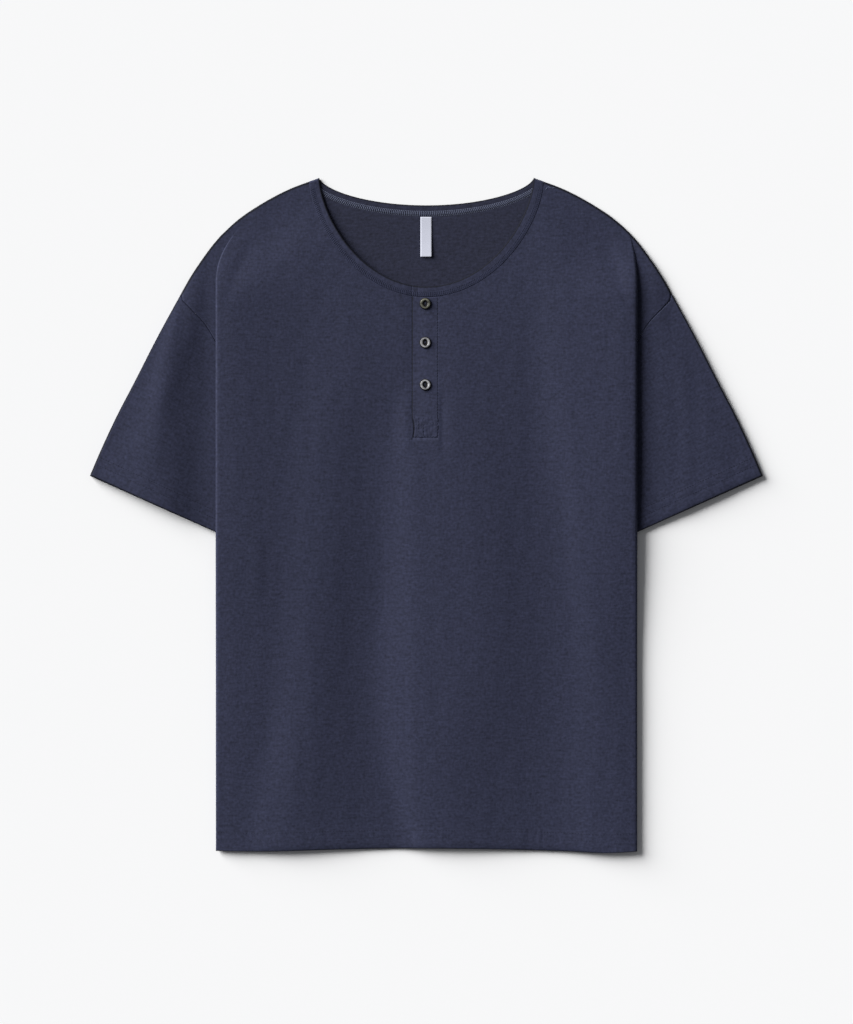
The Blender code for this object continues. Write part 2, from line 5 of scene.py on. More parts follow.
import bpy
import numpy as np
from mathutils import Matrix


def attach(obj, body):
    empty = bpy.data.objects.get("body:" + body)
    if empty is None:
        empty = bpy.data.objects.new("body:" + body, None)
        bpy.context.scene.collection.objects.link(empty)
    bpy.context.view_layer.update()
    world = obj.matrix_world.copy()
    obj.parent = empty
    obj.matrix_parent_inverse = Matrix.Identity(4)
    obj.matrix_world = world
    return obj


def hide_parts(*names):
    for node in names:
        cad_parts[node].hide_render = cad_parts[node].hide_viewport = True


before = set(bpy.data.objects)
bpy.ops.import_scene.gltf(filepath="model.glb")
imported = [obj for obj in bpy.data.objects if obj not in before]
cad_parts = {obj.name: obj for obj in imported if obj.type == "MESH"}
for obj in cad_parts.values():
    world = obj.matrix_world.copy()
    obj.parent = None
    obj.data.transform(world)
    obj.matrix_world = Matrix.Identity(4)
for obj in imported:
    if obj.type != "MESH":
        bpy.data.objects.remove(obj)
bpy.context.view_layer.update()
MM = 0.001  # sizes below are millimetres, and meshes are made in metres


# --- Table, daylight and camera ------------------------------------------------------
# A white matt table top, soft daylight that comes in low from the wearer's right shoulder,
# and a camera that hangs straight above the shirt's middle.

PICTURE_HEIGHT = 1024 * 1.07  # what the camera sees of the table, top to bottom
CAMERA_HEIGHT = 3500.0
CAMERA_Y = 3.7  # the camera's middle is this far above the shirt's own
SENSOR = 36.0
TABLE_HALF = 4000.0
TABLE_DROP = 0.2  # the table top lies this far under the shirt
TABLE_WHITE = (0.94, 0.94, 0.94, 1)
DAYLIGHT_ELEVATION = math.radians(22)
DAYLIGHT_AZIMUTH = math.radians(146)  # where the light comes from, turned from +X to +Y
DAYLIGHT_STRENGTH = 7.2
DAYLIGHT_SOFTNESS = math.radians(44)
ROOM_LIGHT = 0.14
ROOM_COLOUR = (0.97, 0.99, 1.04, 1)


def new_finish(name):
    """A new finish: its material, its node tree and its shader."""
    made = bpy.data.materials.new(name)
    made.use_nodes = True
    return made, made.node_tree, made.node_tree.nodes["Principled BSDF"]


def set_inputs(node, values):
    """Fills a node's inputs, by name or number: a socket is linked, and a value is put in."""
    for key, value in values.items():
        if isinstance(value, bpy.types.NodeSocket):
            node.id_data.links.new(value, node.inputs[key])
        else:
            node.inputs[key].default_value = value


scene = bpy.context.scene
scene.view_settings.view_transform = "Standard"

camera_data = bpy.data.cameras.new("camera")
camera_data.sensor_width = SENSOR
camera_data.lens = SENSOR * CAMERA_HEIGHT / PICTURE_HEIGHT
camera = bpy.data.objects.new("camera", camera_data)
camera.location = (0, CAMERA_Y * MM, CAMERA_HEIGHT * MM)
scene.collection.objects.link(camera)
scene.camera = camera

daylight_data = bpy.data.lights.new("daylight", "SUN")
daylight_data.energy = DAYLIGHT_STRENGTH
daylight_data.angle = DAYLIGHT_SOFTNESS
daylight = bpy.data.objects.new("daylight", daylight_data)
daylight.rotation_euler = (0, math.pi / 2 - DAYLIGHT_ELEVATION, DAYLIGHT_AZIMUTH)
scene.collection.objects.link(daylight)

room = bpy.data.worlds.new("room")
room.use_nodes = True
set_inputs(room.node_tree.nodes["Background"], {"Color": ROOM_COLOUR, "Strength": ROOM_LIGHT})
scene.world = room

table_paint, _, table_shader = new_finish("table_paint")
set_inputs(table_shader, {"Base Color": TABLE_WHITE, "Roughness": 1.0, "Specular IOR Level": 0.0})
table_mesh = bpy.data.meshes.new("table")
corners = [(-1, -1), (1, -1), (1, 1), (-1, 1)]
table_points = [(x * TABLE_HALF * MM, y * TABLE_HALF * MM, -TABLE_DROP * MM) for x, y in corners]
table_mesh.from_pydata(table_points, [], [(0, 1, 2, 3)])
table_mesh.materials.append(table_paint)
table = bpy.data.objects.new("table", table_mesh)
scene.collection.objects.link(table)


# --- Front panel ---------------------------------------------------------------------
# One piece of navy cotton jersey with slub yarn, cut with a straight body and a wide neck.
# Its sides are tucked in: the cloth folds back under itself, and under the fold it turns out
# again as a wing that the drop-shoulder sleeve is sewn to. Its shoulder edge rolls over the
# back's. It lies in long soft folds that were left when the shirt was smoothed flat.

# The cloth's layers and how they are folded

JERSEY = 0.9  # thickness of the cloth
LAYER = 1.35  # from one layer's middle to the next one's
FLOOR = 0.5  # height of the lowest layer's middle
FOLD_RADIUS = LAYER / 2  # of a tight fold
HALF_CHEST = 265.0  # half the width of a cut panel
UNDERARM_Y = 58.0  # where the armhole ends
FOLD_X = 224.0  # where the cloth turns under at the body's sides
FOLD_LEAN = {"right": 18.0, "left": 6.0}  # these folds lean in at the shoulder by this much
LEAN_Y = (250.0, 300.0)  # which is reached between these heights
FOLD_TOP = 310.0  # the folds start here
FOLD_FULL = 230.0  # and are turned right under from here down
SEAM_REACH = 4.0  # the side seam draws its two edges together over this width
LOFT_REACH = 120.0  # the front climbs onto its plump folded edges over this width
STACK_RAMP = 42.0  # and onto its tucked sides over this one
SHOULDER_REACH = 70.0  # and its soft folds come down to the shoulder seam over this one
SOFTNESS = 0.3  # rounds its step onto the tucked sides
SLACK = 0.2  # it lies this much higher than it must
SETTLE = (240.0, 264.0)  # beside the body, the layers under it come down between these
FRONT_SETTLE = (240.0, 350.0)  # and the layers on top of them between these
OVERHANG_REACH = 40.0  # but all together near the outline, within this width
WAVES = 0.09  # mean height of the small waves that stay in smoothed cloth
WAVE_SIZE = (60.0, 110.0)
FREE_X = (204.0, 223.0)  # they fade out between these
FRONT_INSET = JERSEY / 2  # from the outline to the middle of the cloth's edge
EDGE_ROLL = 1.6  # the shoulder edge begins to roll down this far from the outline
EDGE_FALL = 0.95  # and comes down by this much

# The sleeves, under the body and beside it. Pairs are for the shoulder end and the hem end.

SLEEVE_FOOT = (191.0, -33.0)  # the sleeve's lower corner, under the body
SLEEVE_FADE_Y = (-36.0, -166.0)  # the room that its layers take runs out between these
SLEEVE_TENT = {"right": 7.6, "left": 3.3}  # height of the long crest of each sleeve
TENT_Y = (302.0, 172.0)  # the crest begins at the first height and is full at the second
TENT_RIM = {"right": (0.85, 0.7), "left": (0.8, 0.9)}  # share that stands at the outer edge
TENT_RIM_WIDTH = (1.5, 2.5)  # width of that edge's round
TENT_OUTER = (5.0, 60.0)  # from the outline to the crest
TENT_OUTER_Y = (250.0, 50.0)  # heights where these three pairs hold
TENT_CLEAR = 8.0  # from the body's fold to the crest's foot
TENT_INNER = {"right": (31.0, 60.0), "left": (44.0, 90.0)}  # and from there to the crest
TENT_INNER_Y = (265.0, 115.0)  # heights where this pair holds

# The neck, the placket's seat and the hem

NECK_HALF = 114.5  # half the width of the neck opening, which is half an oval
NECK_TOP = 361.0
NECK_POWER = 1.24  # a plain oval has 1, and a more pointed one has more
FRONT_DROP = 116.6  # depth of the neckline in front
BAND_WIDTH = 11.0
BAND_END_DROP = 3.6  # the band's outer edge is this much lower at the shoulder
SEAM_GAP = 0.15  # bare gap at a sewn edge, which its stitches close
SEAM_DIP = 0.07  # both edges of a seam turn down by this much
PLACKET_X = (-15.3, 12.8)  # its free edge and its sewn one
PLACKET_FOOT = 82.9
PLACKET_LAYER = 0.12  # air between the placket and the front under it
SLIT_Y = 93.0  # the slit stands open a little around this height
SLIT_SPAN = 9.0
SLIT_WIDTH = 1.8  # the placket's free edge stands this far from it
SLIT_DEPTH = 0.7  # and the front lies this much lower
FOOT_FOLDS = ((0.5, -21, 6), (-0.55, 17, 3.5), (0.3, 32, 8))  # height, x and width of each
FOOT_FOLDS_Y = 97.0  # they lie around this height
FOOT_FOLDS_SPAN = 30.0
EDGE_VALLEY = 0.42  # depth of the soft valley along the placket's free edge
HEM_DEPTH = 20.0  # of the turned-up cloth
HEM_STEP = 1.8  # the double cloth ends in a step of this width
HEM_RAISE = 0.22  # and of this height
HEM_ROWS = (12.0, 19.5)  # its needle rows, from the edge
HEM_PULL = 0.22  # each row draws the cloth in by this much
PULL_WIDTH = 1.1
HEM_PUCKER = 0.13  # and puckers it by this much
PUCKER_SIZE = (9.0, 60.0)
HEM_CURL = 1.0  # its edge curls down by this much
CURL_REACH = 5.0

OUTLINE = {
    # The left side's outline from the end of the neck over the shoulder to the sleeve's tip
    "x": (114.5, 148.2, 178.2, 201.7, 224.2, 240.2, 254.1, 265.9, 289.0, 310.8, 333.0, 352.6, 359.8),
    "y": (361.0, 348.3, 332.2, 316.2, 294.8, 273.4, 252.0, 230.6, 187.8, 145.0, 102.2, 59.4, 42.3),
}
HEM = {
    # The lower edge, from the wearer's right to left
    "x": (-225.0, -192.0, -92.0, 20.0, 121.0, 154.0, 193.0, 225.0),
    "y": (-358.4, -359.0, -356.8, -355.8, -357.9, -359.0, -360.6, -359.0),
}
TUCK = {
    # How far each side's cloth runs back in under itself
    "y": (UNDERARM_Y, 120.0, 186.0, 209.0, 222.0, FOLD_FULL),
    "depth": (38.9, 29.0, 17.8, 10.3, 3.9, 0.0),
}
LOFT = {
    # How much wider than a tight fold the front's folded edge turns, on each side
    "y": (-345.0, -220.0, -60.0, 10.0, 190.0, 262.0, FOLD_TOP),
    "right": (0.1, 1.3, 1.3, 1.3, 1.3, 0.9, 0.2),
    "left": (1.2, 1.4, 1.8, 2.6, 2.4, 2.2, 1.2),
}
FOLD_LINES = {
    # Crest and trough lines of the soft folds, from the wearer's right to left: where each one
    # is across the front at the heights in "y", and how far it stands off the back there.
    "y": (330.0, 235.0, 166.0, 81.0, -5.0, -90.0, -176.0, -262.0, -345.0),
    "right_trough": (
        (-120.0, -122.0, -132.0, -150.0, -158.0, -161.0, -168.0, -186.0, -214.0),
        (2.6, 4.0, 4.6, 5.0, 5.0, 4.1, 3.3, 2.6, 1.7),
    ),
    "right_crest": (
        (-90.0, -85.0, -90.0, -110.0, -113.0, -119.0, -124.0, -134.0, -144.0),
        (2.8, 4.0, 5.3, 6.3, 6.4, 5.9, 6.2, 6.8, 5.7),
    ),
    "middle_trough": (
        (-30.0, -28.0, -24.0, -46.0, -50.0, -54.0, -60.0, -50.0, -30.0),
        (2.4, 3.6, 4.1, 3.6, 3.1, 1.2, 1.0, 1.0, 0.6),
    ),
    "middle_rise": (
        (0.0, 0.0, 0.0, -6.0, -8.0, -6.0, -6.0, -8.0, 2.0),
        (2.0, 3.6, 5.0, 6.6, 7.2, 6.7, 6.8, 6.2, 4.8),
    ),
    "middle_crest": (
        (25.0, 25.0, 28.0, 40.0, 44.0, 54.0, 44.0, 18.0, 24.0),
        (2.0, 3.8, 5.8, 7.6, 8.4, 8.2, 8.0, 7.0, 5.4),
    ),
    "left_trough": (
        (104.0, 108.0, 112.0, 124.0, 140.0, 145.0, 147.0, 146.0, 140.0),
        (3.2, 4.2, 4.4, 4.1, 3.8, 3.5, 3.0, 2.0, 1.2),
    ),
    "left_crest": (
        (138.0, 140.0, 146.0, 158.0, 172.0, 178.0, 184.0, 188.0, 190.0),
        (3.6, 5.2, 5.8, 5.8, 5.5, 5.0, 4.2, 3.3, 2.5),
    ),
}


def smooth(share):
    """0 to 1 with level ends: 3 t^2 - 2 t^3."""
    share = np.clip(share, 0.0, 1.0)
    return share * share * (3 - 2 * share)


def hermite(t, width, start, end, slope_start, slope_end):
    """A cubic that joins two points with given slopes, at the share t of the width between:
    start (1 + 2t) (1 - t)^2 + end t^2 (3 - 2t) + width (slope_start t (1 - t)^2 + slope_end
    t^2 (t - 1))."""
    value = (1 + 2 * t) * (1 - t) ** 2 * start + t * (1 - t) ** 2 * width * slope_start
    value += t**2 * (3 - 2 * t) * end + t**2 * (t - 1) * width * slope_end
    return value


def curve(xs, ys, at):
    """Cubic Hermite line through (xs, ys), with each point's slope taken from its neighbours,
    and straight beyond its ends."""
    xs, ys, at = np.asarray(xs, float), np.asarray(ys, float), np.asarray(at, float)
    slopes = np.gradient(ys, xs)
    i = np.clip(np.searchsorted(xs, at) - 1, 0, len(xs) - 2)
    width = xs[i + 1] - xs[i]
    t = (at - xs[i]) / width
    s = np.clip(t, 0.0, 1.0)
    value = hermite(s, width, ys[i], ys[i + 1], slopes[i], slopes[i + 1])
    return value + (t - s) * width * np.where(t > 1, slopes[i + 1], slopes[i])


def bell(x, middle, width, power=2):
    """1 at the middle and 0 far from it: exp(-((x - middle) / width)^power)."""
    return np.exp(-(((x - middle) / width) ** power))


def between(ends, share):
    """From the first end at share 0 to the second at share 1: a + (b - a) share."""
    return ends[0] + (ends[1] - ends[0]) * share


def by_side(x, sizes):
    """The size for the side that x is on; the wearer's right has negative x."""
    return np.where(x < 0, sizes["right"], sizes["left"])


def fall(y, heights):
    """0 above the first height and 1 below the second: smooth((top - y) / (top - foot))."""
    return smooth((heights[0] - y) / (heights[0] - heights[1]))


def outward(x, places):
    """0 between the first places left and right of the middle, and 1 beyond the second ones."""
    return smooth((np.abs(x) - places[0]) / (places[1] - places[0]))


def ripple(x, y, across, along, seed, waves=14):
    """Uneven waves of unit height: a sum of sines of random phase and nearly the given lengths."""
    draw = np.random.default_rng(seed)
    total = np.zeros(np.broadcast(x, y).shape)
    for _ in range(waves):
        kx = draw.normal() / across
        ky = draw.normal() / along
        total += np.sin(2 * math.pi * (kx * x + ky * y) + draw.uniform(0, 2 * math.pi))
    return total / math.sqrt(waves)


def outline_y(x):
    """Height of the outline from neck to sleeve tip, the same on both sides."""
    return curve(OUTLINE["x"], OUTLINE["y"], np.abs(x))


def outline_cosine(x):
    """Cosine of the outline's slope: 1 / sqrt(1 + rise^2), from its rise over 1 mm."""
    rise = outline_y(np.abs(x) + 0.5) - outline_y(np.abs(x) - 0.5)
    return 1 / np.hypot(1.0, rise)


def hem_y(x):
    """Height of the body's lower edge, a curve through the points of HEM."""
    return curve(HEM["x"], HEM["y"], x)


def neck_y(x, drop, outer=0.0):
    """Y = top - drop (1 - (x/half)^2)^(power/2); outer 1 is the band's outer edge."""
    half = NECK_HALF + BAND_WIDTH * outer
    depth = drop + (BAND_WIDTH - BAND_END_DROP) * outer
    bow = np.clip(1 - (x / half) ** 2, 0, None) ** (NECK_POWER / 2)
    return NECK_TOP - BAND_END_DROP * outer - depth * bow


def away_from_outline(x, y):
    """Distance inside the outline: the height under it times its slope's cosine."""
    return (outline_y(x) - y) * outline_cosine(x)


def fold_angle(y):
    """The turn of the folds, such that their layers grow evenly in height: its cosine goes
    from 1 to -1."""
    return np.arccos(1 - 2 * fall(y, (FOLD_TOP, FOLD_FULL)))


def tuck_depth(y):
    """How far the cloth runs back under itself before its second turn: a curve through TUCK."""
    y = np.clip(y, TUCK["y"][0], TUCK["y"][-1])
    return np.clip(curve(TUCK["y"], TUCK["depth"], y), 0, None)


def fold_x(y, side=0):
    """Where the side folds start to turn: straight down, and leaning in at the shoulder by
    lean t^2, with t from 0 to 1 between the heights of LEAN_Y."""
    lean = by_side(side, FOLD_LEAN)
    return FOLD_X - lean * np.clip((y - LEAN_Y[0]) / (LEAN_Y[1] - LEAN_Y[0]), 0, 1.2) ** 2


def extra_radius(y, side):
    """How much wider the first turn is than the second, on side -1 or 1; none on side 0."""
    y = np.maximum(y, LOFT["y"][0])
    extra = by_side(side, {name: curve(LOFT["y"], LOFT[name], y) for name in ("right", "left")})
    return np.clip(extra, 0, None) * np.abs(side)


def fold_marks(y, side=0):
    """Where on the cloth the first arc starts and ends, where the second one does, and where
    the cloth ends. The wider turn takes its cloth from the tuck, or is cut with more of it."""
    angle, extra = fold_angle(y), extra_radius(y, side)
    start = fold_x(y, side) - extra
    first = start + (FOLD_RADIUS + extra) * angle
    taken = extra * (angle - np.sin(angle)) / np.maximum(1 - np.cos(angle), 1e-6)
    kept = np.clip(tuck_depth(y) - taken, 0, None)
    edge = HALF_CHEST + np.clip(taken - tuck_depth(y), 0, None) * (1 - np.cos(angle))
    return start, first, first + kept, first + kept + FOLD_RADIUS * angle, edge


def section(p, y, side=0):
    """Cross section of half a panel, for the cloth at p from its middle: flat, an arc that
    turns by the fold's angle, a straight tuck, an arc that turns back, and a flat wing."""
    angle, radius = fold_angle(y), FOLD_RADIUS + extra_radius(y, side)
    start, turned, back_start, back_end, _ = fold_marks(y, side)
    first = np.clip(p, start, turned) - start
    straight = np.clip(p, turned, back_start) - turned
    second = np.clip(p, back_start, back_end) - back_start
    left = angle - second / FOLD_RADIUS
    x = np.minimum(p, start) + radius * np.sin(first / radius) + np.clip(p - back_end, 0, None)
    x += straight * np.cos(angle) + FOLD_RADIUS * (np.sin(angle) - np.sin(left))
    drop = radius * (1 - np.cos(first / radius)) + straight * np.sin(angle)
    return x, drop + FOLD_RADIUS * (np.cos(left) - np.cos(angle))


def fold_loft(reach, y, side):
    """Extra height of the front over its plump fold, run out towards the middle."""
    near = smooth((reach - fold_x(y, side) + LOFT_REACH) / (LOFT_REACH - 4.0))
    return near * extra_radius(y, side) * (1 - np.cos(fold_angle(y)))


def full_drop(y):
    """From the body's upper layer to the wing under it, two layers where the fold is full."""
    return LAYER * (1 - np.cos(fold_angle(y))) + tuck_depth(y) * np.sin(fold_angle(y))


def without_sleeve(y):
    """0 where a sleeve lies in the fold, and 1 well below it."""
    return fall(y, SLEEVE_FADE_Y)


def from_edge(p, y, side=0):
    """How far the cloth at p is from the edge that the sleeve or the other panel is sewn to."""
    return fold_marks(y, side)[4] - p


def seam_pull(p, y, side=0):
    """Draws the side seam's edges to the middle between the front's and the back's layer."""
    _, drop = section(np.full_like(y, HALF_CHEST), y)
    missing = np.clip(full_drop(y) - drop, 0, None) * (1 - without_sleeve(y))
    return missing * smooth(1 - from_edge(p, y, side) / SEAM_REACH)


def through(xs, heights, x):
    """A curve through lines that lie at xs with these heights, level at its crests and troughs.

    Cubic Hermite, each slope the harmonic mean of the two beside it, or 0 where they differ."""
    rise = np.diff(heights, axis=0) / np.maximum(np.diff(xs, axis=0), 1.0)
    both = rise[1:] * rise[:-1]
    slopes = np.zeros_like(xs)
    slopes[1:-1] = np.where(both > 0, 2 * both / np.where(both > 0, rise[1:] + rise[:-1], 1.0), 0.0)
    total = np.where(x < xs[0], heights[0], heights[-1])
    for i in range(len(xs) - 1):
        width = np.maximum(xs[i + 1] - xs[i], 1.0)
        t = (x - xs[i]) / width
        part = hermite(t, width, heights[i], heights[i + 1], slopes[i], slopes[i + 1])
        total = np.where((t >= 0) & (t < 1), part, total)
    return total


def soft_folds(x, y):
    """Height of the front's upper layer over the level where it would touch the back.

    It is the higher of a, the soft folds, and b, the stack of tucked layers, with a rounded step
    between them: (a + b + sqrt((a - b)^2 + soft^2)) / 2."""
    level = np.clip(y, FOLD_LINES["y"][-1], FOLD_LINES["y"][0])
    stack = 2 * full_drop(y) - 2 * LAYER * without_sleeve(y)
    lines = [line for name, line in FOLD_LINES.items() if name != "y"]
    ys = FOLD_LINES["y"][::-1]
    xs, heights = ([curve(ys, line[i][::-1], level) for line in lines] for i in (0, 1))
    xs = [4 - fold_x(y, -1)] + xs + [fold_x(y, 1) - 4]
    heights = [stack] + heights + [stack]
    shape = np.broadcast(x, y).shape
    xs, heights = (np.stack([np.broadcast_to(line, shape) for line in part]) for part in (xs, heights))
    folds = through(xs, heights, x) * smooth(away_from_outline(x, y) / SHOULDER_REACH)
    beside_fold = fold_x(y, np.sign(x)) - np.abs(x)
    least = stack * smooth((tuck_depth(y) + SEAM_REACH - beside_fold) / STACK_RAMP + 1)
    inside = smooth(beside_fold / 20)
    return (folds + least + np.hypot(folds - least, SOFTNESS * inside)) / 2 + SLACK * inside


def hem_relief(above, along, curl):
    """The hem's double cloth, drawn in at its two stitch rows and puckered a little by them. Its
    edge curls down: raise - pull bells + pucker waves - curl (1 - above / reach)^2."""
    double = HEM_RAISE * smooth((HEM_DEPTH + 1.2 - above) / HEM_STEP)
    rows = sum(bell(above, row, PULL_WIDTH) for row in HEM_ROWS)
    pucker = ripple(along, above, *PUCKER_SIZE, seed=5) * bell(above, 15, 9)
    edge = np.clip(1 - above / CURL_REACH, 0, 1) ** 2
    return double - HEM_PULL * rows + HEM_PUCKER * pucker - curl * edge


def placket_edge(y):
    """The placket's free edge: it stands away from the slit in a bell near its foot."""
    return PLACKET_X[0] + SLIT_WIDTH * bell(y, SLIT_Y, SLIT_SPAN, 4)


def placket_seat(x, y):
    """The front lies lower under the placket, from its free edge to its two sewn ones: by one
    layer of cloth, and by the slit's depth where it stands open."""
    slit = bell(y, SLIT_Y, SLIT_SPAN, 4)
    free = smooth((x - placket_edge(y) + 0.35 + 0.3 * slit) / 0.8)
    inside = free * smooth((PLACKET_X[1] + 0.05 - x) / 0.7)
    return -(JERSEY + PLACKET_LAYER + SLIT_DEPTH * slit) * inside * smooth((y - PLACKET_FOOT) / 0.9)


def placket_folds(x, y):
    """Soft folds by the placket: a valley along its free edge, and a bell-shaped ridge, crease
    and second ridge beside its boxed foot."""
    open_edge = smooth((y - PLACKET_FOOT + 8) / 16)
    valley = smooth((x - PLACKET_X[0] + 7) / 6.5) * smooth((2 - x) / 14) * open_edge
    by_foot = sum(height * bell(x, at, width) for height, at, width in FOOT_FOLDS)
    return by_foot * bell(y, FOOT_FOLDS_Y, FOOT_FOLDS_SPAN, 4) - EDGE_VALLEY * valley


def front_main(x, y):
    """Height of the front's upper layer over the back, its folds and the sleeve's layers."""
    small = WAVES * (1 + ripple(x, y, *WAVE_SIZE, seed=3)) * (1 - outward(x, FREE_X))
    return FLOOR + LAYER + soft_folds(x, y) + small + placket_folds(x, y)


def overhang(x, y):
    """The front and the sleeve's upper side come down to the table later than what is under
    them, except along the outline, where both meet."""
    late = outward(x, SETTLE) - outward(x, FRONT_SETTLE)
    return full_drop(y) * late * smooth(away_from_outline(x, y) / OVERHANG_REACH)


def sleeve_tent(x, y):
    """The sleeve's upper side stands up in a long crest between the body and its outer edge:
    height (rim quarter round + (1 - rim) rise) times a slope down to the body's fold."""
    away = away_from_outline(x, y)
    low, lower = fall(y, TENT_OUTER_Y), fall(y, TENT_INNER_Y)
    rim = by_side(x, {side: between(ends, low) for side, ends in TENT_RIM.items()})
    inner = by_side(x, {side: between(ends, lower) for side, ends in TENT_INNER.items()})
    edge = np.sqrt(1 - np.clip(1 - away / between(TENT_RIM_WIDTH, low), 0, 1) ** 2)
    rise = rim * edge + (1 - rim) * smooth(away / between(TENT_OUTER, low))
    height = by_side(x, SLEEVE_TENT) * fall(y, TENT_Y)
    return height * rise * smooth((np.abs(x) - fold_x(y, np.sign(x)) - TENT_CLEAR) / inner)


def edge_roll(x, y):
    """A quarter round that brings the edge down along the shoulder outline:
    fall (1 - sqrt(1 - (1 - away / roll)^2))."""
    away = away_from_outline(x, y) - FRONT_INSET
    round_off = 1 - np.sqrt(1 - np.clip(1 - away / EDGE_ROLL, 0, 1) ** 2)
    return EDGE_FALL * round_off * smooth((np.abs(x) - NECK_HALF) / 6 + 1)


def front_surface(p, y):
    """Middle surface of the front, for the cloth at p across and height y: its place in the
    folded section, and the height of its upper layer less what the folds drop it by."""
    reach = np.abs(p)
    side = np.sign(p)
    x, drop = section(reach, y, side)
    over = side * np.minimum(x, fold_x(y, side))
    x = side * x
    z = front_main(over, y) + fold_loft(reach, y, side)
    z = z - drop - seam_pull(reach, y, side) - full_drop(y) * outward(x, SETTLE)
    z = z + overhang(x, y) + sleeve_tent(x, y)
    curl = HEM_CURL * smooth((FOLD_X - 20 - reach) / 40)  # less near the folds, which hold it
    hem = hem_relief(y - hem_y(x), x, curl) * (reach < FOLD_X - 8)
    armhole = SEAM_DIP * smooth(1 - from_edge(reach, y, side) / 2) * (y > UNDERARM_Y)
    return np.stack([x, y, z - edge_roll(x, y) - armhole + hem + placket_seat(x, y)], -1)


def top_y(p, side, inset, neck_drop):
    """Where the cloth at p ends: at the shoulder outline, or under the neckband's edge. The
    section's own x depends on the height, so the two are brought together step by step."""
    y = np.full_like(p, FOLD_FULL)
    for _ in range(40):
        x, _ = section(p, y, side)
        y = (y + outline_y(x) - inset / outline_cosine(x)) / 2
    in_neck = p < NECK_HALF + BAND_WIDTH
    return np.where(in_neck, np.minimum(neck_y(p, neck_drop, 1.0), y), y)


def half_grid(side, inset, neck_drop, hem_lift, flat_steps, row_steps, extra):
    """Places (p, y) on half a panel: columns run from hem to edge, and rows across. Six
    stretches of columns fill the neck, the flat cloth beside it, the first turn, the tuck, the
    second turn and the wing. Extra columns and a pair of rows stand where the surface has a step."""
    band = NECK_HALF + BAND_WIDTH
    neck = band * np.sin(np.linspace(0, math.pi / 2, flat_steps))[:-1]
    neck = np.unique(np.round(np.concatenate([neck, extra]), 2))
    beside = int(0.8 * flat_steps)
    shares = [neck / band, np.arange(beside) / beside] + 3 * [np.arange(6) / 6] + [np.linspace(0, 1, 17)]
    stretch = np.repeat(np.arange(6), [len(part) for part in shares])
    share = np.concatenate(shares)

    # Rows: closer at the hem, then even up to the placket's foot and from there to the last
    # ones, whose distances from the edge are given
    low = np.concatenate([[0, 0.0012, 0.003], np.linspace(0.006, 1, int(0.6 * row_steps))])[:, None]
    high = np.linspace(0, 1, row_steps - len(low))[:, None]
    close = np.array([0.0, 0.15, 0.35, 0.7, 1.2, 1.8, 2.6, 3.6])[::-1, None]
    first_guess = [band * share, 180.0] + 4 * [240.0]
    p = np.choose(stretch, first_guess)[None, :]
    for _ in range(9):  # the columns' tops and places settle in nine rounds
        top = top_y(p[-1], side, inset, neck_drop)
        x_top, _ = section(p[-1], top, side)
        near = close / np.where(p[-1] > band, outline_cosine(x_top), 1.0)
        hem = hem_y(side * p[0]) + hem_lift
        below = hem + (PLACKET_FOOT - hem) * low
        above = PLACKET_FOOT + 1 + (top - near[0] - PLACKET_FOOT - 1) * high
        y = np.concatenate([below, above, top - near[1:]])
        begin, turned, inner, outer, edge = fold_marks(y, side)
        turned = np.maximum(turned, begin + 1.0)
        inner = np.clip(inner, turned + 1.0, edge - 4)
        outer = np.clip(outer, inner + 1.0, edge - 1.4)
        level = np.zeros_like(y)
        marks = [level, level + band, begin, turned, inner, outer, edge]
        start, end = np.choose(stretch, marks[:-1]), np.choose(stretch, marks[1:])
        p = start + (end - start) * share
    return p, y


def panel_grid(surface, plump, inset, neck_drop, hem_lift, flat_steps, row_steps, extra=()):
    """A whole panel's points, and the places (p, y) on the cut cloth that they come from."""
    sizes = (inset, neck_drop, hem_lift, flat_steps, row_steps, extra)
    (p_right, y_right), (p_left, y_left) = (half_grid(side * plump, *sizes) for side in (-1, 1))
    p = np.concatenate([-p_right[:, :0:-1], p_left], axis=1)
    y = np.concatenate([y_right[:, :0:-1], y_left], axis=1)
    x_hem, _ = section(np.abs(p[0]), y[0])
    own_hem = hem_y(np.sign(p[0]) * x_hem) + hem_lift
    y = y + (own_hem - y[0]) * smooth((y[0] + 60 - y) / 60)
    return surface(p, y), np.stack([p, y], -1)


def quad_mesh(name, points, faces, finishes, cut=None):
    """An object of four-cornered faces; the cut gives each point its place in the UV map."""
    mesh = bpy.data.meshes.new(name)
    mesh.vertices.add(len(points))
    mesh.vertices.foreach_set("co", (points * MM).ravel())
    mesh.loops.add(faces.size)
    mesh.loops.foreach_set("vertex_index", faces.ravel().astype(np.int32))
    mesh.polygons.add(len(faces))
    mesh.polygons.foreach_set("loop_start", np.arange(0, faces.size, 4, dtype=np.int32))
    if cut is not None:
        layer = mesh.uv_layers.new(name="cut")
        layer.data.foreach_set("uv", (cut * MM).ravel())
    mesh.update(calc_edges=True)
    mesh.validate()
    mesh.shade_smooth()
    for finish in finishes:
        mesh.materials.append(finish)
    piece = bpy.data.objects.new(name, mesh)
    scene.collection.objects.link(piece)
    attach(piece, "root")
    return piece


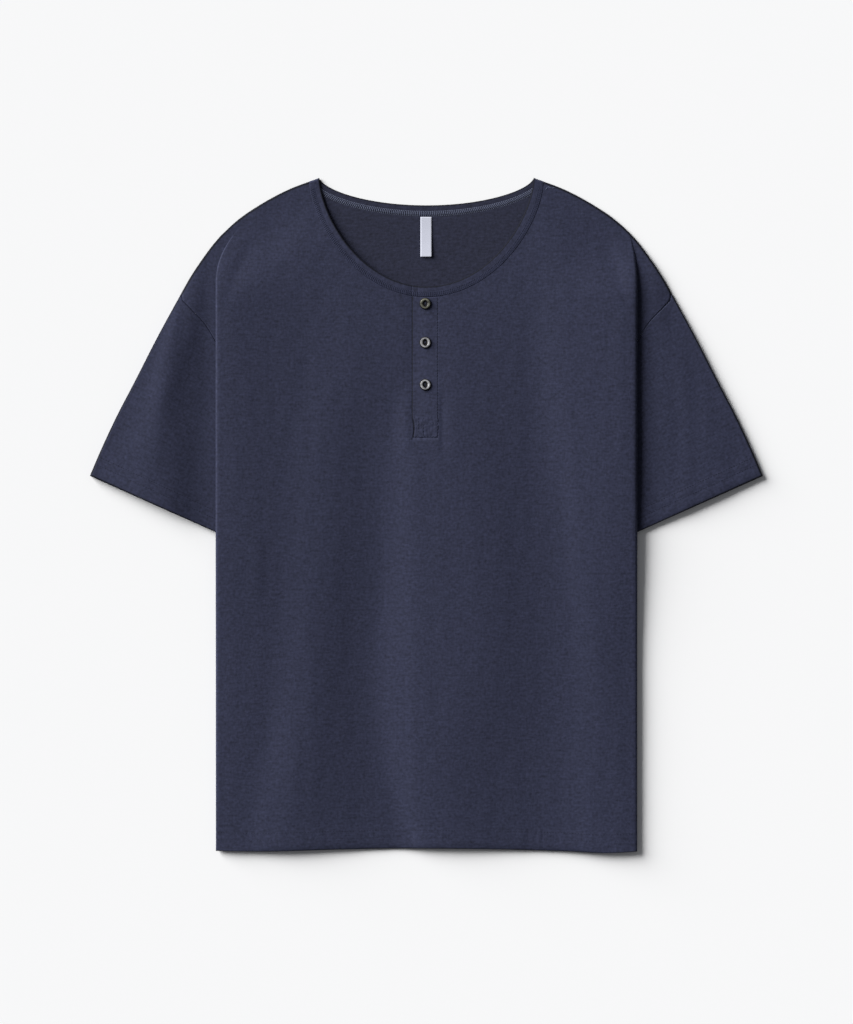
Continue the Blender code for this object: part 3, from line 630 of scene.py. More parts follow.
def cloth_piece(name, grid, cut, wall, finishes, ring=False):
    """A thin shell: the grid is its middle, the cut its UV map, and a Solidify modifier
    gives it its wall, evenly about the middle. The second finish is for its other side."""
    rows, cols = grid.shape[:2]
    steps = cols if ring else cols - 1
    i = np.arange(rows - 1)[:, None] * cols
    j = np.arange(steps)[None, :]
    k = (j + 1) % cols
    faces = np.stack([i + j, i + k, i + cols + k, i + cols + j], -1).reshape(-1, 4)
    places = cut.reshape(-1, 2)[faces]
    if ring:
        closing = np.arange(len(faces)) % steps == steps - 1
        places[closing, 1:3, 0] = places[closing, 0:1, 0] + 1.0
    piece = quad_mesh(name, grid.reshape(-1, 3), faces, finishes, places)
    solidify = piece.modifiers.new("wall", "SOLIDIFY")
    solidify.thickness = wall * MM
    solidify.offset = 0.0
    solidify.material_offset = len(finishes) - 1
    return piece


def paint_edge_shade(piece, distance):
    """Gives the piece's points their "edge" value for painted shade: 1 at the edge, 0 from 2.4 mm on."""
    layer = piece.data.attributes.new("edge", "FLOAT", "POINT")
    layer.data.foreach_set("value", (1 - smooth((distance - 1.2) / 1.2)).ravel())


def add_node(tree, kind, values=(), **settings):
    """A shader node with its settings, and then its inputs, by name or number."""
    node = tree.nodes.new(kind)
    for key, value in settings.items():
        setattr(node, key, value)
    set_inputs(node, dict(values))
    return node


def scaled(tree, colour, by):
    """A colour times a number."""
    return add_node(tree, "ShaderNodeVectorMath", {0: colour, "Scale": by}, operation="SCALE").outputs[0]


def clouds(tree, place, per_metre, detail):
    """Cloudy noise with so many clouds a metre along x, y and z: noise(place x per_metre)."""
    stretched = add_node(tree, "ShaderNodeVectorMath", {0: place, 1: per_metre}, operation="MULTIPLY")
    noise = {"Vector": stretched.outputs[0], "Scale": 1.0, "Detail": detail}
    return add_node(tree, "ShaderNodeTexNoise", noise).outputs["Fac"]


def jersey_group():
    """Knit effect: slub streaks along courses and wales, mottles, blotches of dye, and loops.

    Colour = yarn (1 + slub (bias course + (1 - bias) wale + mottle - 1) + 0.4 (blotch - 1/2)).
    Height = 0.35 loop + the same slubs; roughness = 0.74 + 0.16 course."""
    tree = bpy.data.node_groups.new("jersey_knit", "ShaderNodeTree")
    sockets = {
        "INPUT": {"Cut": "Vector", "Yarn": "Color", "Slub": "Float", "Course bias": "Float"},
        "OUTPUT": {"Colour": "Color", "Height": "Float", "Roughness": "Float"},
    }
    for way, kinds in sockets.items():
        for name, kind in kinds.items():
            tree.interface.new_socket(name, in_out=way, socket_type="NodeSocket" + kind)
    given = tree.nodes.new("NodeGroupInput").outputs
    cut, bias = given["Cut"], given["Course bias"]

    def maths(operation, *values):
        """One step of arithmetic on sockets or numbers."""
        return add_node(tree, "ShaderNodeMath", dict(enumerate(values)), operation=operation).outputs[0]

    courses = clouds(tree, cut, (130.0, 460.0, 1.0), 3.0)
    wales = clouds(tree, cut, (470.0, 150.0, 1.0), 3.0)
    mottles = clouds(tree, cut, (310.0, 360.0, 1.0), 4.0)
    blotches = clouds(tree, cut, (55.0, 150.0, 1.0), 3.0)
    across = maths("MULTIPLY", courses, bias)
    down = maths("MULTIPLY", wales, maths("SUBTRACT", 1.0, bias))
    slubs = maths("SUBTRACT", maths("ADD", maths("ADD", across, down), mottles), 1.0)
    value = maths("MULTIPLY_ADD", slubs, given["Slub"], 1.0)
    value = maths("ADD", value, maths("MULTIPLY", maths("SUBTRACT", blotches, 0.5), 0.4))
    loops = add_node(tree, "ShaderNodeTexVoronoi", {"Vector": cut, "Scale": 1400.0})
    set_inputs(tree.nodes.new("NodeGroupOutput"), {
        "Colour": scaled(tree, given["Yarn"], value),
        "Height": maths("ADD", maths("MULTIPLY", loops.outputs["Distance"], 0.35), slubs),
        "Roughness": maths("ADD", maths("MULTIPLY", courses, 0.16), 0.74),
    })
    return tree


knit = jersey_group()
# Painted shade: the cloth's colour is darkened along its edges and seams, for the shade at their rims
PAINTED_EDGE_SHADE = 0.85  # a pressed edge lies in its own shade


def jersey(name, yarn, slub, course_bias, relief, sheen):
    """A jersey finish from the knit group on the piece's own cut, with a soft cotton sheen, and
    painted shade along the piece's edges: colour = knit colour (1 - 0.85 edge), where edge is 1 at them."""
    made, tree, shader = new_finish(name)
    place = add_node(tree, "ShaderNodeUVMap", uv_map="cut")
    effect = add_node(tree, "ShaderNodeGroup", node_tree=knit)
    place = place.outputs["UV"]
    set_inputs(effect, {"Cut": place, "Yarn": (*yarn, 1), "Slub": slub, "Course bias": course_bias})
    loops = {"Strength": 0.7, "Distance": relief * MM, "Height": effect.outputs["Height"]}
    bump = add_node(tree, "ShaderNodeBump", loops)
    # Painted shade: the colour is darker where the points' edge value is high
    edge = add_node(tree, "ShaderNodeAttribute", attribute_name="edge")
    shade = {0: edge.outputs["Fac"], 1: -PAINTED_EDGE_SHADE, 2: 1.0}
    edge_shade_paint = add_node(tree, "ShaderNodeMath", shade, operation="MULTIPLY_ADD")
    set_inputs(shader, {
        "Base Color": scaled(tree, effect.outputs["Colour"], edge_shade_paint.outputs[0]),
        "Roughness": effect.outputs["Roughness"],
        "Normal": bump.outputs["Normal"],
        "Specular IOR Level": 0.2,
        "Sheen Weight": sheen,
        "Sheen Roughness": 0.45,
        "Sheen Tint": (0.62, 0.7, 1.0, 1),
    })
    return made


NAVY = (0.0250, 0.0281, 0.0560)
# The wrong side's own colour, with painted shade: it is darkened for the shade it lies in inside the neck
NAVY_WRONG_SIDE_AND_SHADE = (0.0200, 0.0219, 0.0420)  # the wrong side, in the neck's shade
PLACKET_COLUMNS = (12.2, 12.8, 13.3, 14.0, 14.6, 15.1, 15.6, 16.1, 16.6, 17.2)  # by its edges
navy_face = jersey("navy_jersey_face", NAVY, slub=1.25, course_bias=0.6, relief=0.22, sheen=0.05)
navy_back_and_shade = jersey("navy_jersey_back_and_shade", NAVY_WRONG_SIDE_AND_SHADE, slub=1.2, course_bias=0.8, relief=0.25, sheen=0.05)

front_grid, front_cut = panel_grid(front_surface, 1, FRONT_INSET, FRONT_DROP, 0.0, 42, 190, PLACKET_COLUMNS)
front = cloth_piece("front_cloth", front_grid, front_cut, JERSEY, (navy_face, navy_back_and_shade))
# Painted shade along the outline, and in a narrower strip along the hem
at_outline = away_from_outline(front_grid[..., 0], front_grid[..., 1]) - FRONT_INSET
paint_edge_shade(front, np.minimum(at_outline, 1.2 + front_grid[..., 1] - hem_y(front_grid[..., 0])))
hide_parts("front_panel")


# --- Back panel ----------------------------------------------------------------------
# The same jersey, tucked in at its sides like the front but upside down. Its wrong side shows
# inside the neck. Its outside is the underside that the shirt rests on, so it lies flat.

BACK_DROP = 29.3  # depth of the neckline at the back
BACK_INSET = FRONT_INSET + 1.5  # the front's rolled edge lies over the back's
BACK_HEM_LIFT = 1.6  # its hem lies this much higher than the front's


def back_surface(p, y):
    """Middle surface of the back: flat on the table, its tucks laid on top of it by the drop of
    the folded section."""
    reach = np.abs(p)
    x, drop = section(reach, y)
    z = FLOOR + drop + seam_pull(reach, y) - full_drop(y) * outward(x, SETTLE)
    return np.stack([np.sign(p) * x, y, z], -1)


back_grid, back_cut = panel_grid(back_surface, 0, BACK_INSET, BACK_DROP, BACK_HEM_LIFT, 40, 150)
back = cloth_piece("back_cloth", back_grid, back_cut, JERSEY, (navy_back_and_shade, navy_face))
# Painted shade just under the neckband's seam
back_x = back_grid[..., 0]
below_seam = neck_y(np.clip(back_x, -NECK_HALF, NECK_HALF), BACK_DROP, 1.0) - back_grid[..., 1]
paint_edge_shade(back, np.where(np.abs(back_x) < NECK_HALF, 1.5 + below_seam, 3.0))
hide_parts("back_panel")


# --- Neckband ------------------------------------------------------------------------
# A strip of the same jersey, folded lengthwise and sewn to the neck edge, then flattened with
# a cover stitch: two needle rows, and a looper thread that lies across them like the rungs of
# a ladder. Its front half lies over its back half at the shoulders.

BAND_WALL = 1.2  # thickness of its doubled cloth, pressed
BAND_BULGE = 0.16  # it stands up by this much along its middle
BAND_SPLIT = ((0.3, -15.6, 0.6), (0.12, -9.0, 0.8))  # depth, x and width of its two creases
SPLIT_COLUMNS = (-19.0, -7.0, 0.4)  # and where its grid is closer for them
FRONT_ROWS = (6.3, 10.2)  # distance of the needle rows from the neck edge
BACK_ROWS = (6.5, 11.3)
FRONT_LIMITS = (-1.45, 1.45)  # the rows' ends, as turns from the middle of the neck
BACK_LIMITS = (-1.40, 1.40)
COVER_PITCH = 2.0
COVER_THREAD = 0.75  # woolly looper thread
NEEDLE_GAP = 0.001  # turn between one needle stitch and the next
RUNG_SLANT = 0.3  # a rung starts at this share of its half stitch
THREAD = 0.5
THREAD_BOW = 0.25  # a stitch stands up by this much at its middle
# A stitch is thinner at its tips
SPINDLE = {"at": (0.0, 0.16, 0.5, 0.84, 1.0), "thick": (0.35, 0.9, 1.0, 0.9, 0.35)}
# A loose thread end at the left shoulder
TAIL = ((127.3, 348.3), (130.0, 351.5), (134.3, 349.9), (137.5, 350.9))


def band_place(angle, across, drop, inset):
    """Plan of the neckband, half an oval; across is 0 at the neck edge and 1 at the seam:
    x = half sin(angle), y = top - depth cos(angle)^power, kept inside the outline."""
    x = (NECK_HALF + BAND_WIDTH * across) * np.sin(angle)
    depth = drop + (BAND_WIDTH - BAND_END_DROP) * across
    y = NECK_TOP - BAND_END_DROP * across - depth * np.clip(np.cos(angle), 0, None) ** NECK_POWER
    return x, np.minimum(y, outline_y(x) - inset / outline_cosine(x))


def front_under_band(p, y):
    """The front without the placket's seat, less a bell for each crease: the band is split
    where the placket's free edge goes on up."""
    points = front_surface(p, y)
    split = sum(depth * bell(p, at, width) for depth, at, width in BAND_SPLIT)
    points[..., 2] -= placket_seat(p, y) + split
    return points


def band_surface(surface, angle, across, drop, inset):
    """The band's middle: its panel's surface with a bulge of 1 - (2 across - 1)^4, turned down
    by as much at the seam."""
    x, y = band_place(angle, across, drop, inset)
    points = surface(x, y)
    points[..., 2] += BAND_BULGE * (1 - np.abs(2 * across - 1) ** 4) - BAND_BULGE * across
    return points


def neckband(name, surface, drop, inset, wall, finishes, node, slot):
    """Half of the band: columns at even turns round the neck, rows from the seam to the neck
    edge. Its cut is the length along the neck edge by the distance from it."""
    by_split = np.arcsin(np.arange(*SPLIT_COLUMNS) / NECK_HALF)
    angle = np.sort(np.concatenate([np.linspace(-math.pi / 2, math.pi / 2, 240), by_split]))[:, None]
    across = np.linspace(1.0 - SEAM_GAP / BAND_WIDTH, 0.0, 14)[None, :]
    grid = band_surface(surface, angle, across, drop, inset).transpose(1, 0, 2)
    step = np.linalg.norm(np.diff(grid[-1, :, :2], axis=0), axis=-1)
    length = np.concatenate([[0], np.cumsum(step)])
    depth = (across * BAND_WIDTH).T
    cut = np.stack(np.broadcast_arrays(length[None, :], depth), -1)
    piece = cloth_piece(name, grid, cut, wall, finishes)
    # Painted shade along the neck edge, where the band's wall stands
    paint_edge_shade(piece, np.broadcast_to(0.6 + depth, grid.shape[:2]))  # dark along the neck edge
    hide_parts(node)


def thread_finish(name, colour):
    """Spun sewing thread: its shade wanders from 0.6 to 1.4 of its colour."""
    made, tree, shader = new_finish(name)
    place = add_node(tree, "ShaderNodeTexCoord")
    noise = add_node(tree, "ShaderNodeTexNoise", {"Vector": place.outputs["Object"], "Scale": 420.0})
    wander = {"Value": noise.outputs["Fac"], "To Min": 0.6, "To Max": 1.4}
    shade = add_node(tree, "ShaderNodeMapRange", wander)
    colours = scaled(tree, colour, shade.outputs["Result"])
    set_inputs(shader, {"Base Color": colours, "Roughness": 0.8, "Specular IOR Level": 0.2})
    return made


def sewing(name, starts, ends, thick, finish, bow=THREAD_BOW):
    """Stitches: a spindle from each start to each end, bowed up, with its tips in the cloth.

    Centre = start + t (end - start) + up (bow sin(pi t) - thick / 3). A spindle is five rings of
    six points, thinner at its tips, and two faces close each tip."""
    t = np.array(SPINDLE["at"])[None, :, None, None]
    radius = thick / 2 * np.array(SPINDLE["thick"])[None, :, None, None]
    turn = (np.arange(6) * math.pi / 3)[None, None, :, None]
    starts, ends = starts.reshape(-1, 1, 1, 3), ends.reshape(-1, 1, 1, 3)
    run = ends - starts
    side = np.stack([-run[..., 1], run[..., 0], 0 * run[..., 0]], -1)
    side = side / np.linalg.norm(side, axis=-1, keepdims=True)
    up = np.array([0.0, 0.0, 1.0])
    centre = starts + run * t + up * (bow * np.sin(math.pi * t) - thick / 3)
    points = centre + radius * (np.cos(turn) * side + np.sin(turn) * up)
    ring = np.arange(6)
    after = (ring + 1) % 6
    rings = np.arange(4)[:, None] * 6
    walls = [rings + ring, rings + after, rings + 6 + after, rings + 6 + ring]
    tips = np.array([(3, 2, 1, 0), (5, 4, 3, 0), (24, 25, 26, 27), (24, 27, 28, 29)])
    one = np.concatenate([np.stack(walls, -1).reshape(-1, 4), tips])
    faces = (np.arange(len(starts))[:, None, None] * 30 + one[None]).reshape(-1, 4)
    return quad_mesh(name, points.reshape(-1, 3), faces, [finish])


def even(path, pitch):
    """Shares of a path's own run, at points that lie about one pitch apart along it."""
    step = np.linalg.norm(np.diff(path, axis=0), axis=-1)
    length = np.concatenate([[0], np.cumsum(step)])
    count = max(int(length[-1] / pitch), 1)
    return np.interp(np.linspace(0, length[-1], count + 1), length, np.linspace(0, 1, len(path)))


def raised(points, by):
    """The same points, this much higher."""
    return points + np.array([0.0, 0.0, by])


def cover_stitch(name, surface, drop, inset, wall, limits, finish, cover_rows):
    """Two needle rows along the band, and a slanted rung of looper thread for each stitch. The
    rung starts in the first row, RUNG_SLANT of the way to the stitch's middle, and ends in the
    second row at its middle."""
    span = np.linspace(*limits, 500)
    middle = np.mean(cover_rows) / BAND_WIDTH
    share = even(band_surface(surface, span, middle + 0 * span, drop, inset), COVER_PITCH)
    angle = limits[0] + (limits[1] - limits[0]) * share
    start, end = angle[:-1], angle[1:]
    half = (end + start) / 2
    rows = [row / BAND_WIDTH for row in cover_rows]

    def place(at, row):
        """Points on top of the band's cloth."""
        return raised(band_surface(surface, at, row + 0 * at, drop, inset), wall / 2)

    needles = [(place(start + NEEDLE_GAP, row), place(end - NEEDLE_GAP, row)) for row in rows]
    rungs = (place(start * (1 - RUNG_SLANT) + half * RUNG_SLANT, rows[0]), place(half, rows[1]))
    starts, ends = (np.concatenate(points) for points in zip(*needles, rungs))
    return sewing(name, starts, ends, COVER_THREAD, finish)


navy_thread = thread_finish("navy_thread", (0.030, 0.034, 0.060))
dark_thread = thread_finish("dark_navy_thread", (0.014, 0.016, 0.030))
band_thread = thread_finish("band_navy_thread", (0.021, 0.025, 0.052))
pale_thread = thread_finish("pale_blue_thread", (0.130, 0.148, 0.217))

front_band = (front_under_band, FRONT_DROP, FRONT_INSET, BAND_WALL)
back_band = (back_surface, BACK_DROP, BACK_INSET, JERSEY)
neckband("neckband_front_cloth", *front_band, (navy_face, navy_back_and_shade), "neckband_front", "cloth")
neckband("neckband_back_cloth", *back_band, (navy_back_and_shade, navy_face), "neckband_back", "cloth_inside")
cover_front = cover_stitch("cover_stitch_front", *front_band, FRONT_LIMITS, band_thread, FRONT_ROWS)
cover_back = cover_stitch("cover_stitch_back", *back_band, BACK_LIMITS, pale_thread, BACK_ROWS)
tail = raised(front_surface(*np.transpose(TAIL)), JERSEY / 2 + 0.1)
sewing("cover_stitch_tail", tail[:-1], tail[1:], THREAD, pale_thread)


# --- Sleeves -------------------------------------------------------------------------
# Short jersey sleeves, each folded from one piece into a tube, sewn to the dropped shoulder
# and hemmed with two needle rows. They lie flat, and the body's folded sides lie over them.

SLEEVE_TIP = (359.8, 42.3)  # where the outline meets the sleeve's hem
SLEEVE_TOP = UNDERARM_Y + 3  # the sleeve's underarm edge starts here
SLEEVE_HEM = 185.0  # width across the hem
SLEEVE_NARROWS = 45.0  # and how much narrower it is at the armhole
SLEEVE_CURL = 0.8
SLEEVE_WAVES = 0.2
SLEEVE_WAVE_SIZE = (40.0, 110.0)
SLEEVE_EDGE = 30.0  # they fade out this near its edges
HEM_WAY = (-0.913, -0.407)  # direction of the left sleeve's hem, towards the underarm
STITCH_PITCH = 3.0
STITCH_SHARE = 0.8  # of the pitch, covered by a stitch
FLAT_THREAD = 0.3  # the rows that the shirt rests on are pressed flat
UNDER = 0.33  # and lie this far under the cloth's middle


def seam_x(y):
    """Where the cut edge of the panels' wings lies, which the sleeve is sewn to."""
    return section(np.full_like(y, HALF_CHEST), y)[0]


def sleeve_place(s, u):
    """Plan of a sleeve, a patch between four lines: s runs from the shoulder outline to the
    underarm, and u from the armhole to the hem.

    Place = armhole and hem mixed by u + outline and lower edge mixed by s - the four corners
    mixed by both. The third value is the length from armhole to hem."""
    top = FOLD_FULL + 0.0 * s
    for _ in range(40):
        top = (top + outline_y(seam_x(top)) - FRONT_INSET / outline_cosine(seam_x(top))) / 2
    arm_y = top + (SLEEVE_TOP - top) * s
    arm_x = np.maximum(seam_x(arm_y) + SEAM_GAP, SLEEVE_FOOT[0])
    first = seam_x(top) + SEAM_GAP
    out_x = first + (SLEEVE_TIP[0] - JERSEY / 2 - first) * u
    out_y = outline_y(out_x) - JERSEY / 2 / outline_cosine(out_x)
    tip_x = SLEEVE_TIP[0] - JERSEY / 2
    tip_y = outline_y(tip_x) - JERSEY / 2 / outline_cosine(tip_x)
    hem_x, hem_at = tip_x + (SLEEVE_FOOT[0] - tip_x) * s, tip_y + (SLEEVE_FOOT[1] - tip_y) * s
    low_x, low_y = SLEEVE_FOOT[0], SLEEVE_TOP + (SLEEVE_FOOT[1] - SLEEVE_TOP) * u
    x = (1 - u) * arm_x + u * hem_x + (1 - s) * out_x + s * low_x
    x -= (1 - s) * ((1 - u) * first + u * tip_x) + s * SLEEVE_FOOT[0]
    y = (1 - u) * arm_y + u * hem_at + (1 - s) * out_y + s * low_y
    y -= (1 - s) * ((1 - u) * top + u * tip_y) + s * ((1 - u) * SLEEVE_TOP + u * SLEEVE_FOOT[1])
    return x, y, np.hypot(hem_x - arm_x, hem_at - arm_y)


def sleeve_surface(s, u, layer, side):
    """Middle of a sleeve's upper (layer 1) or lower (layer -1) side; side is 1 for the left
    one. The tube's edge is round: half height = r sqrt(1 - (1 - edge / r)^2)."""
    x, y, length = sleeve_place(s, u)
    width = SLEEVE_HEM - SLEEVE_NARROWS * (1 - u)
    edge = np.minimum(s, 1 - s) * width
    half = FOLD_RADIUS * np.sqrt(1 - np.clip(1 - edge / FOLD_RADIUS, 0, 1) ** 2)
    z = FLOOR + FOLD_RADIUS + full_drop(y) * (1 - outward(x, SETTLE)) + layer * half
    if layer > 0:
        waves = SLEEVE_WAVES * (1 + ripple(x, y, *SLEEVE_WAVE_SIZE, seed=11 + side))
        small = waves * smooth(edge / SLEEVE_EDGE) * smooth(u / 0.3)
        z = z + overhang(side * x, y) + sleeve_tent(side * x, y) + small
        z = z + hem_relief((1 - u) * length, s * width, SLEEVE_CURL) * smooth(edge / 3)
    z = z - SEAM_DIP * smooth(1 - u * length / 2.0)
    return np.stack([side * x, y, z], -1)


def sleeve(name, side, node):
    """A sleeve's closed tube: its upper side from the outline to the underarm, and its lower
    side back. On the cut, the upper side's plan is turned to the hem's direction, and the
    lower side's is mirrored at the underarm edge."""
    t = np.linspace(0, 1, 74)
    s = (1 - np.cos(math.pi * t))[:, None] / 2
    u = np.concatenate([[0, 0.006, 0.013], np.linspace(0.02, 0.99, 86), [0.995, 1]])[None, :]
    s, u = np.broadcast_arrays(s, u)
    upper = sleeve_surface(s, u, 1, side)
    lower = sleeve_surface(s, u, -1, side)[-2:0:-1]
    # Painted shade along the tube's outer edge and its hem
    to_hem = 0.5 + SLEEVE_HEM * (1 - u)
    near_edge = np.minimum(SLEEVE_HEM * s, to_hem)
    near_edge = np.concatenate([near_edge, to_hem[-2:0:-1]]).T
    plan = np.stack([side * upper[..., 0], upper[..., 1]], -1)
    across = plan @ np.array(HEM_WAY)
    along = plan @ np.array([-HEM_WAY[1], HEM_WAY[0]])
    upper_cut = np.stack([across, along], -1)
    lower_cut = np.stack([2 * across[-1:] - across, along], -1)[-2:0:-1]
    ring = np.concatenate([upper, lower]).transpose(1, 0, 2)
    cut = np.concatenate([upper_cut, lower_cut]).transpose(1, 0, 2)
    if side < 0:
        ring, cut, near_edge = ring[:, ::-1], cut[:, ::-1], near_edge[:, ::-1]
    piece = cloth_piece(name, ring, cut, JERSEY, (navy_face, navy_back_and_shade), ring=True)
    paint_edge_shade(piece, near_edge)
    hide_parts(node)


def run_stitch(path):
    """Starts and ends of a plain stitch row along a path, one stitch in each pitch."""
    at = even(path, STITCH_PITCH)
    where = np.linspace(0, 1, len(path))

    def point(value):
        """The path's points at these shares of its run."""
        return np.stack([np.interp(value, where, path[:, k]) for k in range(3)], -1)

    start, end = at[:-1], at[1:]
    return point(start), point(start + (end - start) * STITCH_SHARE)


def hem_rows(name, paths, finish, thick=THREAD, bow=THREAD_BOW):
    """One piece of sewing with a plain stitch row along each path."""
    starts, ends = (np.concatenate(points) for points in zip(*map(run_stitch, paths)))
    sewing(name, starts, ends, thick, finish, bow)


sleeve("sleeve_left_cloth", 1, "sleeve_left")
sleeve("sleeve_right_cloth", -1, "sleeve_right")
# Both needle rows, on the upper and the lower side of both sleeves
s = np.linspace(0.01, 0.99, 200)
_, _, length = sleeve_place(s, 1.0 + 0 * s)
ends = [(side, 1 - row / length) for side in (1, -1) for row in HEM_ROWS]
sleeve_paths = [raised(sleeve_surface(s, u, 1, side), JERSEY / 2) for side, u in ends]
under_paths = [raised(sleeve_surface(s, u, -1, side), -UNDER) for side, u in ends]
hem_rows("sleeve_hem_stitches", sleeve_paths, dark_thread)
hem_rows("sleeve_hem_under", under_paths, dark_thread, FLAT_THREAD, 0.0)


# --- Body hem ------------------------------------------------------------------------
# The lower edge is turned up once and held by two needle rows of navy thread. They show on
# the front and on the underside, where the shirt's weight presses them flat.

hem_x = np.linspace(-FOLD_X, FOLD_X, 400)
hem_at = hem_y(hem_x)
body_paths = [raised(front_surface(hem_x, hem_at + row), JERSEY / 2) for row in HEM_ROWS]
back_paths = [raised(back_surface(hem_x, hem_at + BACK_HEM_LIFT + row), -UNDER) for row in HEM_ROWS]
hem_rows("body_hem_stitches", body_paths, dark_thread)
hem_rows("body_hem_under", back_paths, dark_thread, FLAT_THREAD, 0.0)


# --- Placket -------------------------------------------------------------------------
# A strip of jersey, folded at its free edge on the wearer's right and sewn down along its
# other edge. A boxed seam holds its foot, where the slit in the front ends.

PLACKET_LIFT = 0.1  # it lies this much over the front's own surface
BOX_TOP = 110.0  # the box puckers the strip below this height
BOX_PUCKER = 0.16
PLACKET_EDGE_ROUND = 0.12  # the free edge turns down by this much
PLACKET_SEAM_ROUND = 0.18  # and the sewn ones by this much
PLACKET_LINES = (
    # Each line of stitches from x, y to x, y: the sewn side, the box's foot, two lines that
    # hold the end of the slit, and the box's top
    (11.4, 232.0, 11.4, 84.2),
    (-13.2, 84.2, 11.4, 84.2),
    (-9.1, 105.0, -9.1, 84.2),
    (-3.7, 105.0, -3.7, 84.2),
    (-12.6, 97.9, 11.4, 97.9),
)
KNOT = ((-17.6, 83.0), (-15.4, 80.9), (-16.9, 80.6), (-15.6, 83.2))
KNOT_THREAD = 0.6


def placket_surface(x, y):
    """Middle of the placket: on the front's main surface, puckered by the box, and turned down
    at its free edge and its two sewn ones."""
    pucker = BOX_PUCKER * ripple(x, y, 3.0, 14.0, seed=8) * smooth((BOX_TOP - y) / 6)
    turned = PLACKET_EDGE_ROUND * smooth(1 - (x - placket_edge(y)) / 1.2)
    turned += PLACKET_SEAM_ROUND * smooth(1 - np.minimum(PLACKET_X[1] - x, y - PLACKET_FOOT) / 2.2)
    return np.stack([x, y, front_main(x, y) + PLACKET_LIFT + pucker - turned], -1)


columns = [np.linspace(0, 0.1, 6)[:-1], np.linspace(0.1, 0.9, 22)[:-1], np.linspace(0.9, 1, 6)]
share = np.concatenate(columns)[None, :]
down = np.linspace(0, 1, 120)[:, None]
top = neck_y(between(PLACKET_X, share), FRONT_DROP, 1.0) - SEAM_GAP
placket_y = PLACKET_FOOT + (top - PLACKET_FOOT) * down
placket_x = placket_edge(placket_y) + (PLACKET_X[1] - placket_edge(placket_y)) * share
placket_grid = placket_surface(placket_x, placket_y)
placket_plan = np.stack([placket_x, placket_y], -1)
placket = cloth_piece("placket_cloth", placket_grid, placket_plan, JERSEY, (navy_face, navy_back_and_shade))
# Painted shade along the placket's free edge
paint_edge_shade(placket, 1.0 + placket_x - placket_edge(placket_y))
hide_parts("placket")


def placket_line(x0, y0, x1, y1):
    """A straight line on top of the placket."""
    t = np.linspace(0, 1, 120)
    return raised(placket_surface(x0 + (x1 - x0) * t, y0 + (y1 - y0) * t), JERSEY / 2)


hem_rows("placket_stitches", [placket_line(*line) for line in PLACKET_LINES], navy_thread)
knot = raised(placket_surface(*np.transpose(KNOT)), JERSEY / 2 + 0.1)
sewing("placket_knot", knot[[0, 2]], knot[[1, 3]], KNOT_THREAD, dark_thread)


# --- Buttons -------------------------------------------------------------------------
# Three two-hole buttons of dark shell, turned with a rounded rim and an oval hollow between
# the holes, sewn on with navy thread. They stay buttoned.

BUTTON_X = -1.3
BUTTON_Y = (226.3, 184.6, 139.6)
BUTTON_RADIUS = 6.25
BUTTON_HEIGHT = 2.1
BUTTON_GAP = 0.1  # air under a button
BUTTON_RINGS = {
    # Rings from the middle of the top, over the rim and round the edge to the flat back, as
    # shares of the radius and the height
    "radius": (0.02, 0.06, 0.10, 0.14, 0.18, 0.22, 0.26, 0.30, 0.34, 0.38, 0.43, 0.49, 0.56, 0.63, 0.70,
               0.77, 0.84, 0.90, 0.95, 0.985, 1.0, 0.985, 0.94, 0.86, 0.4, 0.05),
    "height": (0.60, 0.60, 0.60, 0.60, 0.60, 0.61, 0.62, 0.64, 0.67, 0.71, 0.78, 0.87, 0.95, 0.99, 1.0,
               0.97, 0.90, 0.80, 0.66, 0.50, 0.34, 0.18, 0.07, 0.0, 0.0, 0.0),
}
ROUND_POINTS = 64  # points in a ring
TOP_RINGS = 16
EYE = (2.6, 3.6)  # half sizes of the oval hollow
EYE_DEPTH = 0.35
HOLE_Y = 1.4
HOLE_RADIUS = 0.75
HOLE_DEPTH = 0.7
BUTTON_THREAD = 0.6


def shell_finish(name, dark, light, shine):
    """Shell with soft grey clouds; shine is 1 for a polished face and 0 for the painted shade of an edge.
    """
    made, tree, shader = new_finish(name)
    place = add_node(tree, "ShaderNodeTexCoord")
    noise = clouds(tree, place.outputs["Object"], (160.0, 420.0, 160.0), 4.0)
    ramp = add_node(tree, "ShaderNodeValToRGB", {"Fac": noise})
    for element, position, colour in zip(ramp.color_ramp.elements, (0.35, 0.65), (dark, light)):
        element.position = position
        element.color = (*colour, 1)
    set_inputs(shader, {
        "Base Color": ramp.outputs["Color"],
        "Roughness": 0.6 - 0.3 * shine,
        "Specular IOR Level": 0.1 + 0.3 * shine,
        "Coat Weight": 0.15 * shine,
    })
    return made


